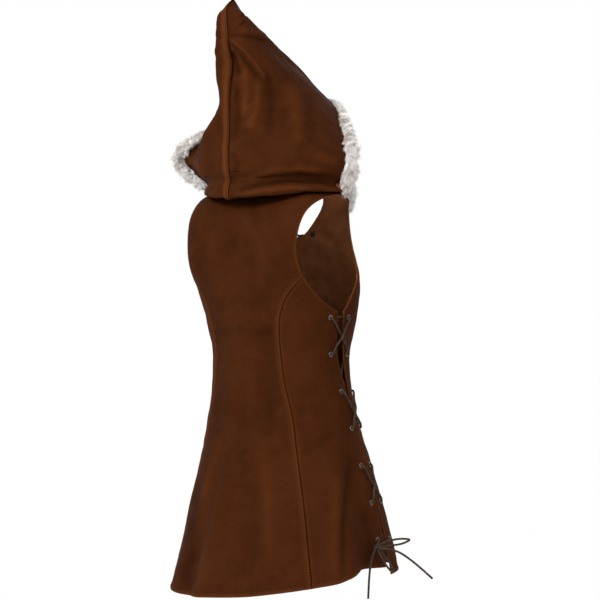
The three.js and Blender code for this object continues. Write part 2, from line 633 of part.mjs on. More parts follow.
const KNOT_LONG = 7.5;
const KNOT_GAP = 0.34; // between the knot and the laces that come out of it
// Each bow's steps (forward, outward, up) from its knot, in millimetres: two loops and two free ends.
const BOWS = {
  right: {
    angle: 101.5, level: -677, height: 9,
    loops: [
      [[0, 0, 0], [12, 6, 8], [30, 34, 17], [43, 52, 16], [36, 38, 8], [17, 9, 2], [0, 0, 0]],
      [[0, 0, 0], [4, 6, -12], [14, 16, -36], [24, 22, -49], [27, 17, -38], [13, 6, -14], [0, 0, 0]],
    ],
    ends: [
      [[-7, 4, -7], [-16, 9, -18], [-24, 13, -37], [-29, 16, -58], [-32, 18, -80], [-33, 18, -98]],
      [[5, 9, -2], [16, 17, -3], [33, 29, -9], [53, 41, -24], [74, 53, -44], [92, 62, -62]],
    ],
  },
  left: {
    angle: -101.5, level: -677, height: 9,
    loops: [
      [[0, 0, 0], [12, 6, 8], [27, 28, 14], [38, 40, 8], [32, 30, 2], [16, 9, 0], [0, 0, 0]],
      [[0, 0, 0], [-2, 7, -13], [-36, 14, -60], [-62, 22, -111], [-52, 22, -108], [-24, 13, -58], [0, 0, 0]],
    ],
    ends: [
      [[-9, 4, -2], [-22, 9, -12], [-34, 14, -32], [-40, 19, -56], [-40, 22, -76], [-38, 24, -92]],
      [[7, 9, -4], [20, 16, -14], [36, 22, -34], [46, 26, -58], [52, 28, -80], [56, 28, -100]],
    ],
  },
  neck: {
    angle: 180, level: NECK_LEVEL, height: 11,
    loops: [
      [[0, 0, 0], [13, 7, 3], [34, 20, -7], [44, 26, -16], [34, 25, -19], [13, 11, -6], [0, 0, 0]],
      [[0, 0, 0], [-13, 7, 3], [-32, 19, -5], [-43, 25, -15], [-33, 24, -18], [-13, 11, -6], [0, 0, 0]],
    ],
    ends: [
      [[4, 6, -9], [10, 20, -17], [14, 34, -34], [18, 44, -56], [20, 52, -80], [21, 57, -100]],
      [[-4, 6, -9], [-10, 21, -17], [-13, 35, -36], [-18, 46, -59], [-22, 54, -84], [-23, 59, -106]],
    ],
  },
};

// The knot with its two loops; `extra` thickens it all round.
function bowSolid(bow, { middle, step }, extra = 0) {
  const size = [1, 0.85, 0.8].map((part) => part * KNOT_LONG + extra);
  let whole = solid(closed(new THREE.SphereGeometry(1, 8, 6).scale(...size).translate(...middle.toArray())));
  for (const loop of bow.loops) {
    const points = curved(loop.map(step), 10);
    for (const half of [points.slice(0, 6), points.slice(5)]) {
      whole = whole.add(solid(tube(half, LACE_RADIUS + extra, 6)));
    }
  }
  return whole;
}

// A lace that comes out of the knot, face to face with it.
function outOfKnot(geometry, bow, place) {
  const rest = solid(geometry).subtract(bowSolid(bow, place, KNOT_GAP));
  return fromSolid(rest.decompose().sort((a, b) => b.volume() - a.volume())[0]);
}
const looseEnd = (end, { middle, step }) => tube(curved([middle, ...end.map(step)], 12), LACE_RADIUS, 8);

// ---- the model ----
const LEATHER_MATERIAL = new THREE.MeshStandardMaterial({ color: 0x4f2a15, roughness: 0.6, metalness: 0 });
const FUR_MATERIAL = new THREE.MeshStandardMaterial({ color: 0xdedad6, roughness: 0.95, metalness: 0 });
const METAL_MATERIAL = new THREE.MeshStandardMaterial({ color: 0x9a948a, roughness: 0.35, metalness: 1 });
const LACE_MATERIAL = new THREE.MeshStandardMaterial({ color: 0x3c3028, roughness: 0.75, metalness: 0 });

const tunic = new THREE.Group();
function add(name, geometry, material) {
  const mesh = new THREE.Mesh(geometry, material);
  mesh.name = name;
  tunic.add(mesh);
}
add('back', wall(backPanel(), false), LEATHER_MATERIAL);
add('front', punched(wall(frontPanel(), false), [1, -1].map(neckEyelet)), LEATHER_MATERIAL);
const neckBow = bowPlace(BOWS.neck);
for (const [side, name] of [[1, 'right'], [-1, 'left']]) {
  const flip = side < 0;
  const places = sideEyelets(side);
  add(`back_side_${name}`, punched(wall(backSidePanel(side), flip), places[0]), LEATHER_MATERIAL);
  add(`front_side_${name}`, punched(wall(frontSidePanel(side), flip), places[1]), LEATHER_MATERIAL);
  add(`hood_${name}`, wall(hoodHalf(side), flip), LEATHER_MATERIAL);
  places[0].forEach((place, i) => add(`eyelet_back_${name}_${i + 1}`, eyelet(place), METAL_MATERIAL));
  places[1].forEach((place, i) => add(`eyelet_front_${name}_${i + 1}`, eyelet(place), METAL_MATERIAL));
  const bow = bowPlace(BOWS[name]);
  add(`lace_${name}`, outOfKnot(heldLace(places, bow), BOWS[name], bow), LACE_MATERIAL);
  addBow(name, bow);
  add(`eyelet_neck_${name}`, eyelet(neckEyelet(side)), METAL_MATERIAL);
  add(`tie_${name}`, outOfKnot(neckTie(neckEyelet(side), neckBow), BOWS.neck, neckBow), LACE_MATERIAL);
}
addBow('neck', neckBow);
add('fur_trim', furStrip(), FUR_MATERIAL);

function addBow(name, place) {
  add(`bow_${name}`, fromSolid(bowSolid(BOWS[name], place)), LACE_MATERIAL);
  BOWS[name].ends.forEach((end, i) => (
    add(`lace_end_${name}_${i + 1}`, outOfKnot(looseEnd(end, place), BOWS[name], place), LACE_MATERIAL)));
}

export default tunic;
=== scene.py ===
"""The looks of a hooded leather tunic as worn by nobody: shells with their seams and stitching, laces, eyelets and fur.

Angles run around the body from the centre back: 90 is the wearer's right side, -90 the left, 180 the centre front.
The tables are in millimetres, as in the part's source; meshes are written in metres.
"""
import math

import bpy
import numpy as np
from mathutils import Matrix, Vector


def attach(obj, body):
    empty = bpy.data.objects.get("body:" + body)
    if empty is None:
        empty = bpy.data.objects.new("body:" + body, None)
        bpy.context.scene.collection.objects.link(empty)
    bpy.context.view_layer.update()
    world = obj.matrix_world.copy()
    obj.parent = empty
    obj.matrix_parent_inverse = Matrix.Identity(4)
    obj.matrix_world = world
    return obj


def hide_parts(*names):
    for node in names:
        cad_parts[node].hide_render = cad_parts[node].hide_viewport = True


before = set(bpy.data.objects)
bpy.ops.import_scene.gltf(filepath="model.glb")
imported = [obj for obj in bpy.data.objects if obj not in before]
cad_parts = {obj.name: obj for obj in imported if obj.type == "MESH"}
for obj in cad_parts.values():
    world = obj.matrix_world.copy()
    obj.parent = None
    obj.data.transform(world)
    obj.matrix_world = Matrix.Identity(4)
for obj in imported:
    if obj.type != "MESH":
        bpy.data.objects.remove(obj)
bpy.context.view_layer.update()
MM = 0.001
TAU = 2 * math.pi

# ---- stage: camera, floor and light ----
SIDE = Vector((-0.7193, -0.6947, 0))  # to the right in the picture
AWAY = Vector((-0.6947, 0.7193, 0))  # towards the camera
EYE = 6.5 * AWAY + 0.04 * SIDE + Vector((0, 0, -0.192))


def aimed(obj, place, target):
    obj.location = place
    obj.rotation_euler = (Vector(target) - Vector(place)).to_track_quat("-Z", "Y").to_euler()
    bpy.context.scene.collection.objects.link(obj)
    return obj


camera_data = bpy.data.cameras.new("camera")
camera_data.lens = 195
camera_data.sensor_width = 36
camera_data.clip_end = 100
camera = aimed(bpy.data.objects.new("camera", camera_data), EYE, EYE - AWAY)
bpy.context.scene.camera = camera


def lamp(name, place, size, watts, target=(0, 0, -0.2), colour=(1, 1, 1)):
    data = bpy.data.lights.new(name, "AREA")
    data.shape = "DISK"
    data.size = size
    data.energy = watts
    data.color = colour
    return aimed(bpy.data.objects.new(name, data), place, target)


lamp("key", 3.0 * AWAY - 2.6 * SIDE + Vector((0, 0, 2.0)), 1.6, 165)
lamp("fill", 3.2 * AWAY + 2.8 * SIDE + Vector((0, 0, 0.5)), 2.4, 38)
lamp("top", 1.2 * AWAY + Vector((0, 0, 3.2)), 2.2, 24)
lamp("rim", -3.0 * AWAY + 0.8 * SIDE + Vector((0, 0, 0.9)), 2.4, 10)

world = bpy.data.worlds.new("studio")
world.use_nodes = True
sky = world.node_tree.nodes["Background"]
path_info = world.node_tree.nodes.new("ShaderNodeLightPath")
blend_sky = world.node_tree.nodes.new("ShaderNodeMix")
blend_sky.data_type = "FLOAT"
blend_sky.inputs[2].default_value = 0.68  # what the sky gives as light
blend_sky.inputs[3].default_value = 1.0  # what it shows behind the tunic
world.node_tree.links.new(path_info.outputs["Is Camera Ray"], blend_sky.inputs[0])
world.node_tree.links.new(blend_sky.outputs[0], sky.inputs["Strength"])
sky.inputs["Color"].default_value = (1, 1, 1, 1)
bpy.context.scene.world = world
bpy.context.scene.view_settings.view_transform = "Standard"
bpy.context.scene.view_settings.look = "None"


# ---- meshes ----
def mesh_object(name, points, faces, smooth=True, tones=None):
    """An object from points in millimetres; tones are (painted highlight, painted shade, flesh side) for each point,
    for the materials.
    """
    mesh = bpy.data.meshes.new(name)
    points = np.asarray(points, float)
    faces = [tuple(int(i) for i in face) for face in faces]
    mesh.from_pydata((points * MM).tolist(), [], faces)
    if tones is not None:
        layer = mesh.color_attributes.new("tone", "FLOAT_COLOR", "POINT")
        flat = np.zeros((len(points), 4), np.float32)
        flat[:, :np.shape(tones)[1]] = tones
        flat[:, 3] = 1
        layer.data.foreach_set("color", flat.ravel())
    mesh.polygons.foreach_set("use_smooth", [smooth] * len(faces))
    mesh.update()
    obj = bpy.data.objects.new(name, mesh)
    bpy.context.scene.collection.objects.link(obj)
    return obj


def grid_faces(columns, rows, start=0, flip=False):
    """Quads of a grid of (rows + 1) x (columns + 1) points, row by row."""
    j, i = np.mgrid[0:rows, 0:columns]
    a = (start + j * (columns + 1) + i).ravel()
    quads = np.stack([a, a + 1, a + columns + 2, a + columns + 1], 1)
    return quads[:, ::-1] if flip else quads


def ring_faces(rings, sides, closed=False):
    """Quads between rings of points that follow each other; open rows of rings get a face at each end."""
    faces = []
    for k in range(rings if closed else rings - 1):
        a, b = k * sides, (k + 1) % rings * sides
        faces += [(a + i, a + (i + 1) % sides, b + (i + 1) % sides, b + i) for i in range(sides)]
    if not closed:
        faces += [tuple(range(sides))[::-1], tuple((rings - 1) * sides + i for i in range(sides))]
    return faces


def unit(v):
    return v / np.maximum(np.linalg.norm(v, axis=-1, keepdims=True), 1e-9)


def passed_along(points):
    """Distance from the first point of a line to each of its points."""
    return np.concatenate([[0], np.cumsum(np.linalg.norm(np.diff(points, axis=0), axis=1))])


def columns_at(at, keys, values):
    """The columns of values, one row a key, read off at each place."""
    return np.stack([np.interp(at, keys, column) for column in values.T], 1)


# ---- tables ----
def hermite(keys, values, at):
    """Cubic through values (one row a key, with as many columns as at has entries, or one) at the keys."""
    keys = np.asarray(keys, float)
    values = np.asarray(values, float)
    last = len(keys) - 1
    lo = np.maximum(np.arange(last + 1) - 1, 0)
    hi = np.minimum(np.arange(last + 1) + 1, last)
    run = (keys[hi] - keys[lo]).reshape([-1] + [1] * (values.ndim - 1))
    slope = (values[hi] - values[lo]) / run
    at = np.asarray(at, float)
    i = np.searchsorted(keys[1:-1], at, side="left")
    step = keys[i + 1] - keys[i]
    t = np.clip((at - keys[i]) / step, 0, 1)
    pick = (lambda table, k: table[k]) if values.ndim == 1 else (lambda table, k: table[k, np.arange(at.size)])
    p, q, m, n = pick(values, i), pick(values, i + 1), pick(slope, i), pick(slope, i + 1)
    t2, t3 = t * t, t * t * t
    return (2 * t3 - 3 * t2 + 1) * p + (t3 - 2 * t2 + t) * step * m + (3 * t2 - 2 * t3) * q + (t3 - t2) * step * n


class Table:
    """Rows of numbers with named columns; the first column is the key."""

    def __init__(self, names, rows):
        self.names = names.split()
        self.rows = np.array(rows, float)

    def __call__(self, name, at):
        return hermite(self.rows[:, 0], self.rows[:, self.names.index(name)], at)

    def first(self, name):
        return self.rows[0, self.names.index(name)]


NECK = 25  # key of the section that is the neckline
SECTIONS = Table("level side back front backSquare frontSquare backZ sideZ frontZ", [
    (-790, 244, 200, 236, 2.0, 2.0, -790, -790, -790), (-680, 224, 163, 206, 2.0, 2.1, -680, -680, -680),
    (-592, 203, 145, 180, 2.1, 2.2, -592, -592, -592), (-492, 179, 122, 148, 2.1, 2.3, -492, -492, -492),
    (-392, 157, 115, 118, 2.1, 2.4, -392, -392, -392), (-332, 148, 114, 108, 2.1, 2.5, -332, -332, -332),
    (-292, 149, 115, 110, 2.1, 2.5, -292, -292, -292), (-252, 156, 120, 113, 2.2, 2.6, -252, -252, -252),
    (-212, 164, 123, 116, 2.4, 2.7, -212, -212, -212), (-172, 169, 125, 117, 2.9, 2.8, -172, -172, -172),
    (-132, 175, 127, 104, 3.9, 2.6, -132, -132, -132), (-92, 176, 126, 90, 5.0, 2.35, -92, -92, -102),
    (-42, 174, 122, 74, 5.0, 2.35, -42, -42, -84), (-14, 171, 114, 64, 4.3, 2.5, -16, -8, -75),
    (8, 163, 97, 58, 3.2, 3.0, 3, 19, -69), (NECK, 96, 80, 54, 2.3, 3.1, 14, 36, -65),
])
FOLDS = [(-152, 15, 7), (-120, 11, 9), (-97, 9, -14), (-78, 10, 11), (-46, 12, 5), (-26, 9, -9), (-9, 9, 8),
         (20, 14, -3), (48, 12, 4), (79, 9, 15), (94, 8, -17), (121, 11, 11), (152, 15, 7), (180, 12, -5)]
HEM = Table("angle z", [
    (-108, -722), (-94, -726), (-86, -733), (-76, -748), (-60, -764), (-46, -771), (-30, -776), (0, -774), (25, -769),
    (44, -760), (62, -750), (72, -743), (78, -734), (86, -723), (94, -719), (108, -718)])
HEM_FRONT = Table("angle z", [
    (108, -733), (126, -724), (150, -722), (180, -728), (210, -722), (234, -724), (252, -733)])
BACK_PRINCESS = Table("level angle", [
    (-790, 60.6), (-700, 60.2), (-630, 59.4), (-548, 58), (-478, 56.2), (-425, 54.4), (-384, 51), (-344, 47.6),
    (-288, 44.6), (-255, 43.6), (-222, 44.4), (-185, 49), (-146, 59)])
FRONT_PRINCESS = Table("level angle", [
    (-790, 146), (-600, 146), (-430, 144), (-332, 142), (-260, 147), (-215, 149), (-185, 138), (-160, 122),
    (-138, 108.5)])
LACED_EDGES = Table("level back front", [
    (-790, 107, 111.5), (-690, 109.5, 112), (-600, 111.8, 112.9), (-500, 109.4, 110.5), (-400, 106, 107.4),
    (-350, 101, 105.5), (-300, 94.5, 101.5), (-216, 88.6, 94)])
SHOULDER = 88
ARMHOLE_BACK = Table("at level angle", [
    (0, -216, 88.6), (1, -199, 77), (2, -176, 67.5), (3, -146, 59), (4, -116, 54.6), (5, -84, 53.8), (6, -42, 56.6),
    (7, -16, 62.5), (8, 0, 74), (9, 6, SHOULDER)])
ARMHOLE_FRONT = Table("at level angle", [
    (0, -216, 94), (1, -196, 98.5), (2, -168, 104), (3, -138, 108.5), (4, -104, 109), (5, -64, 107.5), (6, -30, 103.5),
    (7, -8, 97), (8, 6, SHOULDER)])
JUNCTION = 3  # where the princess seams run into the armhole's two tables
LEATHER = 2.0
ALLOWANCE, DOUBLED = 12.5, 1.1  # the turned-in leather at a seam: its width, and how much deeper the inside is there
SEAM_GAP = 0.02  # the sewn seams are drawn closed


# ---- the body's surface ----
def body_point(angle, level):
    angle, level = np.broadcast_arrays(np.asarray(angle, float), np.asarray(level, float))
    s, c = np.sin(np.radians(angle)), np.cos(np.radians(angle))
    behind = c >= 0
    row = {name: SECTIONS(name, level.ravel()).reshape(level.shape) for name in SECTIONS.names[1:]}
    square = np.where(behind, row["backSquare"], row["frontSquare"])
    across = np.abs(s) / row["side"]
    along = np.abs(c) / np.where(behind, row["back"], row["front"])
    reach = np.clip((-400 - level) / 370, 0, 1.1)
    folds = sum(h * np.exp(-((((angle - a + 180) % 360 - 180) / w) ** 2)) for a, w, h in FOLDS)
    radius = (across ** square + along ** square) ** (-1 / square) + folds * reach ** 2 * (3 - 2 * np.minimum(reach, 1))
    part = np.abs(c) ** np.where(behind, 1.6, 1.3)
    z = row["sideZ"] + (np.where(behind, row["backZ"], row["frontZ"]) - row["sideZ"]) * part
    return np.stack([-radius * s, radius * c, z], -1)


def body_normal(angle, level):
    level = np.asarray(level, float)
    round_ = body_point(np.asarray(angle) + 0.5, level) - body_point(np.asarray(angle) - 0.5, level)
    up = body_point(angle, np.minimum(level + 1, NECK)) - body_point(angle, level - 1)
    return unit(np.cross(round_, up))


def seam_shift(angle, level, lean=0.0):
    at = body_point(angle, level)
    radius = np.hypot(at[..., 0], at[..., 1])
    return np.degrees(SEAM_GAP * 0.6 * np.hypot(1, radius * np.radians(lean)) / radius)


# ---- paths of the panels: functions of 0..1 that give (angle, level) ----
ARM_PART = 12 / 19  # where the junction stands on the long panels' sides


def rising(start, end, v):
    return start + (end - start) * (1 - (1 - v) ** 1.4)


def seam_path(table, side, off, hem):
    def path(v):
        level = rising(float(hem("z", side * table.first("angle"))), table.rows[-1, 0], v)
        angle = table("angle", level)
        lean = (table("angle", level + 5) - table("angle", level - 5)) / 10
        return np.stack([side * (angle + off * seam_shift(angle, level, lean)), level], -1)
    return path


def laced_path(name, side, hem):
    def path(v):
        level = rising(float(hem("z", side * 108)), -216, v)
        return np.stack([side * LACED_EDGES(name, level), level], -1)
    return path


def arm_path(table, side, start, end):
    def path(t):
        at = start + (end - start) * t
        return np.stack([side * table("angle", at), table("level", at)], -1)
    return path


def long_side(princess, arm, side, off, hem):
    """A long panel's side: up the princess seam, then up the armhole to the shoulder."""
    seam = seam_path(princess, side, off, hem)
    top = arm_path(arm, side, JUNCTION, len(arm.rows) - 1)

    def path(v):
        low = seam(np.clip(v / ARM_PART, 0, 1))
        t = np.clip((v - ARM_PART) / (1 - ARM_PART), 0, 1)
        high = top(t)
        shift = off * seam_shift(np.abs(high[..., 0]), high[..., 1]) * ((1 - t) ** 9 + t ** 9)
        high[..., 0] += side * shift
        return np.where((v <= ARM_PART)[..., None], low, high)
    return path


def angle_at(path, part):
    """The angle of a path at one share of its way."""
    return float(path(np.array([part]))[0][0])


def over_front(path):
    def mirrored(t):
        points = path(t)
        return np.stack([360 - points[..., 0], points[..., 1]], -1)
    return mirrored


def hem_path(hem, start, end):
    return lambda u: np.stack([start + (end - start) * u, hem("z", start + (end - start) * u)], -1)


def neck_path(start, end, steps, first, last):
    """Up one shoulder, along the neckline and down the other shoulder."""
    part = 3 / steps

    def path(u):
        up = np.clip(u / part, 0, 1)
        down = np.clip((1 - u) / part, 0, 1)
        level = 6 + (NECK - 6) * np.minimum(up, down)
        middle = np.clip((u - part) / (1 - 2 * part), 0, 1)
        angle = np.where(u < part, start, np.where(u > 1 - part, end, first + (last - first) * middle))
        return np.stack([angle, level], -1)
    return path


def spread(count, crowd):
    """Values of 0..1, crowded at the given shares of the way: (place, half width, extra)."""
    base = np.linspace(0, 1, count)
    parts = [base] + [np.clip(place + np.linspace(-half, half, extra), 0, 1) for place, half, extra in crowd]
    return np.unique(np.round(np.concatenate(parts), 5))


def coons(bottom, top, left, right, u, v):
    """A grid of angles and levels between four sides; the sides across it reach in only near themselves."""
    uu, vv = u[None, :, None], v[:, None, None]

    def bulge(side):
        start, end = side(np.array([0.0, 1.0]))
        return side(u)[None] - ((1 - uu) * start + uu * end)

    across = (1 - uu) * left(v)[:, None] + uu * right(v)[:, None]
    return across + (1 - vv) ** 2 * bulge(bottom) + vv ** 4 * bulge(top)


# ---- relief of the leather ----
WAVES = [(0.031, 0.9, 2.1, 0.0), (0.023, -1.7, 0.6, 1.3), (0.047, 0.3, -1.1, 2.2), (0.06, 1.2, 1.9, 4.0),
         (0.083, -0.7, 0.9, 5.1), (0.038, 2.4, 0.2, 0.7)]


def undulation(points, size=1.0):
    """Soft uneven waves of about a millimetre."""
    total = 0
    for rate, a, b, phase in WAVES:
        way = unit(np.array([a, b, 0.8 * a - b]))
        bent = 1.3 * np.sin(points[..., 2] * 0.013 + a)
        total = total + np.sin(points @ way * rate * TAU / 2 + phase + bent) / (1 + rate * 25)
    return size * total * 0.42


def bump(d, at, width):
    return np.exp(-(((d - at) / width) ** 2))


def edge_relief(d, stitch=None):
    """Height over the distance from an edge: rounded off at the edge, drawn in under a row of stitches."""
    turn = np.clip(1 - d, 0, 1)
    height = -0.8 * (1 - np.sqrt(np.maximum(1 - turn ** 2, 0)))
    if stitch:
        height = height - 0.45 * bump(d, stitch, 1.5) + 0.45 * bump(d, stitch * 0.5, stitch * 0.33)
    return height


def walked(points, axis):
    """Distances along one axis of a grid from its start and from its end."""
    step = np.linalg.norm(np.diff(points, axis=axis), axis=-1)
    from_start = np.concatenate([np.zeros_like(np.take(step, [0], axis)), np.cumsum(step, axis)], axis)
    total = np.take(from_start, [-1], axis)
    return from_start, total - from_start


PIXEL_MM = 2.0


def picture(points):
    """Where points in millimetres stand in the camera's 600 x 600 frame."""
    u = points[..., 0] * SIDE.x + points[..., 1] * SIDE.y
    depth = points[..., 0] * AWAY.x + points[..., 1] * AWAY.y
    near = 1 + depth / (6500 - depth)
    return 300 + (u - 40) * 0.5 * near, 300 - (points[..., 2] + 192) * 0.5 * near


def from_line(px, py, line):
    """Distance in millimetres in the picture's plane to a line of points, and the share of its length passed."""
    best = np.full(px.shape, 1e9)
    passed = np.zeros(px.shape)
    line = np.array(line, float)
    lengths = np.hypot(*np.diff(line, axis=0).T)
    total = lengths.sum()
    done = 0.0
    for (ax, ay), (bx, by), length in zip(line[:-1], line[1:], lengths):
        t = np.clip(((px - ax) * (bx - ax) + (py - ay) * (by - ay)) / length ** 2, 0, 1)
        d = np.hypot(px - ax - t * (bx - ax), py - ay - t * (by - ay))
        nearer = d < best
        best = np.where(nearer, d, best)
        passed = np.where(nearer, (done + t * length) / total, passed)
        done += length
    return best * PIXEL_MM, passed


def creased(points, creases):
    """Sum of listed creases: (height, width, line in the picture); each fades out at its ends."""
    px, py = picture(points)
    total = np.zeros(px.shape)
    for height, width, line in creases:
        d, passed = from_line(px, py, line)
        fade = np.clip(np.minimum(passed, 1 - passed) * 5, 0, 1)
        fade = fade * fade * (3 - 2 * fade)
        total += height * fade * bump(d, 0, width)
    return total


# ---- shells ----
INSIDE_SHADE_FROM, INSIDE_SHADE_OVER = -190, 110  # painted shade grows on the inside face below this height, over so much


def shell(name, outer, normals, height, tones, flip=False, under=0.0, cap=None):
    """A closed thin shell on a grid: the outer face with its relief, the inner face and the rim. The inner face keeps
    clear of deep creases and lies lower by under, where a seam's allowance doubles the leather."""
    rows, columns = outer.shape[0] - 1, outer.shape[1] - 1
    face = outer + normals * height[..., None]
    inner = outer - normals * (LEATHER + under + np.maximum(0, -height - 0.8))[..., None]
    if cap is not None:
        face, inner = cap(face), cap(inner)
    count = (rows + 1) * (columns + 1)
    front = grid_faces(columns, rows, 0, flip)
    back = grid_faces(columns, rows, count, not flip)
    number = np.arange(count).reshape(rows + 1, columns + 1)
    rim = np.concatenate([number[0, :-1], number[:-1, -1], number[-1, :0:-1], number[:0:-1, 0]])
    turn = np.roll(rim, -1)
    edge = np.stack([turn, rim, count + rim, count + turn], 1)[:, ::-1 if flip else 1]
    points = np.concatenate([face.reshape(-1, 3), inner.reshape(-1, 3)])
    outside = np.concatenate([tones.reshape(-1, 2), np.zeros((count, 1))], 1)
    inside = outside.copy()
    low = np.clip((INSIDE_SHADE_FROM - outer[..., 2].ravel()) / INSIDE_SHADE_OVER, 0, 1)
    allowance = np.broadcast_to(under, height.shape).ravel()
    fold = (allowance > 0.05) & (allowance < DOUBLED - 0.05)  # the allowance's own edge
    # the inside gets the flesh colour, more on an allowance, and painted shade low down and along the allowance's own
    # edge
    inside[:, 2] = 0.78 + 0.2 * np.minimum(allowance, 1) - 0.78 * low
    inside[:, 1] = np.maximum(inside[:, 1], np.maximum(0.6 * low, 0.5 * fold))
    faces = np.concatenate([front, back, edge])
    return mesh_object(name, points, faces, tones=np.concatenate([outside, inside])), face


def line_at(face, normals, distance, where, axis=1):
    """Points and normals of the grid at a distance from one of its edges, one for each row (or column)."""
    if axis == 0:
        face, normals, distance = face.transpose(1, 0, 2), normals.transpose(1, 0, 2), distance.T
    found, ways = [], []
    for points, ns, d in zip(face, normals, distance):
        order = np.argsort(d)
        found.append([np.interp(where, d[order], points[order, k]) for k in range(3)])
        ways.append([np.interp(where, d[order], ns[order, k]) for k in range(3)])
    return np.array(found), unit(np.array(ways))


STITCH_PITCH, STITCH_LENGTH, STITCH_RADIUS = 5.4, 3.1, 0.52
# A stitch by its eight points: a tip, two rings of three and a tip. A needle hole by its six: four round, top, bottom.
STITCH_FACES = [(0, 2, 1), (0, 3, 2), (0, 1, 3), (1, 2, 5, 4), (2, 3, 6, 5), (3, 1, 4, 6),
                (7, 4, 5), (7, 5, 6), (7, 6, 4)]
HOLE_FACES = [(0, 1, 4), (1, 2, 4), (2, 3, 4), (3, 0, 4), (1, 0, 5), (2, 1, 5), (3, 2, 5), (0, 3, 5)]


class Stitches:
    """Gathers the stitches of one piece of leather: short rounded dashes half sunk in it, and needle holes between,
    painted near black as the shade in them.
    """

    def __init__(self):
        self.points, self.faces, self.holes = [], [], []

    def add(self, points, faces):
        base = len(self.points)
        self.points += points
        self.faces += [tuple(base + i for i in face) for face in faces]

    def row(self, points, normals):
        gone = passed_along(points)
        places = np.arange(STITCH_PITCH * 0.5, gone[-1] - STITCH_PITCH * 0.4, STITCH_PITCH)
        at, ns, along = (columns_at(places, gone, values) for values in (points, normals, np.gradient(points, axis=0)))
        along, ns = unit(along), unit(ns)
        side = unit(np.cross(along, ns))
        half, r = STITCH_LENGTH / 2, STITCH_RADIUS
        for p, n, a, s in zip(at, ns, along, side):
            made = [p - a * half - n * 0.25]
            for way, lift in ((-0.6, 0.05), (0.55, 0.1)):
                centre = p + a * half * way + n * lift
                made += [centre + s * r * 1.1 - n * r * 0.3, centre + n * r, centre - s * r * 1.1 - n * r * 0.3]
            self.add([*made, p + a * half - n * 0.25], STITCH_FACES)
            self.holes += [len(self.faces) + k for k in range(len(HOLE_FACES))]
            hole = p + a * STITCH_PITCH / 2 + n * 0.1
            corners = (a * 1.25, s * 1.15, -a * 1.25, -s * 1.15, n * 0.16, -n * 0.4)
            self.add([hole + corner for corner in corners], HOLE_FACES)

    def made(self, name):
        obj = mesh_object(name, self.points, self.faces)
        dress(obj, thread, "leather")
        obj.data.materials.append(holes)
        which = np.zeros(len(obj.data.polygons), np.int32)
        which[self.holes] = 1
        obj.data.polygons.foreach_set("material_index", which)
        return obj


# ---- materials ----
class Nodes:
    """Short names for the making of node trees."""

    def __init__(self, name):
        self.material = bpy.data.materials.new(name)
        self.material.use_nodes = True
        self.tree = self.material.node_tree
        self.shader = self.tree.nodes["Principled BSDF"]
        coordinates = self.tree.nodes.new("ShaderNodeTexCoord")
        self.place = coordinates.outputs["Object"]

    def add(self, kind, **inputs):
        node = self.tree.nodes.new(kind)
        for key, value in inputs.items():
            socket = node.inputs[int(key[1:])] if key[0] == "i" and key[1:].isdigit() else node.inputs[key]
            self.give(socket, value)
        return node

    def give(self, socket, value):
        if isinstance(value, bpy.types.NodeSocket):
            self.tree.links.new(value, socket)
        else:
            socket.default_value = value

    def noise(self, scale, detail=3.0, roughness=0.5):
        node = self.add("ShaderNodeTexNoise", Vector=self.place, Scale=scale, Detail=detail, Roughness=roughness)
        return node.outputs["Fac"]

    def cells(self, scale):
        return self.add("ShaderNodeTexVoronoi", Vector=self.place, Scale=scale).outputs["Distance"]

    def span(self, value, low, high, to_low=0.0, to_high=1.0):
        node = self.add("ShaderNodeMapRange", i1=low, i2=high, i3=to_low, i4=to_high)
        self.give(node.inputs[0], value)
        return node.outputs[0]

    def mix(self, share, first, second):
        node = self.tree.nodes.new("ShaderNodeMix")
        node.data_type = "RGBA"
        self.give(node.inputs[0], share)
        for socket, value in ((node.inputs[6], first), (node.inputs[7], second)):
            self.give(socket, value if isinstance(value, bpy.types.NodeSocket) else (*value, 1))
        return node.outputs[2]

    def maths(self, operation, a, b=0.0):
        node = self.tree.nodes.new("ShaderNodeMath")
        node.operation = operation
        self.give(node.inputs[0], a)
        self.give(node.inputs[1], b)
        return node.outputs[0]

    def tone(self):
        node = self.tree.nodes.new("ShaderNodeAttribute")
        node.attribute_name = "tone"
        split = self.add("ShaderNodeSeparateColor", i0=node.outputs["Color"])
        return split.outputs

    def finish(self, colour, roughness, specular=None):
        """Gives the shader its colour, roughness and shine, and returns the material."""
        self.give(self.shader.inputs["Base Color"], colour)
        self.give(self.shader.inputs["Roughness"], roughness)
        if specular is not None:
            self.give(self.shader.inputs["Specular IOR Level"], specular)
        return self.material

    def bumps(self, *layers):
        normal = None
        for height, strength, distance in layers:
            node = self.add("ShaderNodeBump", Strength=strength, Distance=distance, Height=height)
            if normal is not None:
                self.give(node.inputs["Normal"], normal)
            normal = node.outputs["Normal"]
        self.give(self.shader.inputs["Normal"], normal)


def linear(r, g, b):
    return tuple(((c / 255 + 0.055) / 1.055) ** 2.4 if c > 10 else c / 255 / 12.92 for c in (r, g, b))


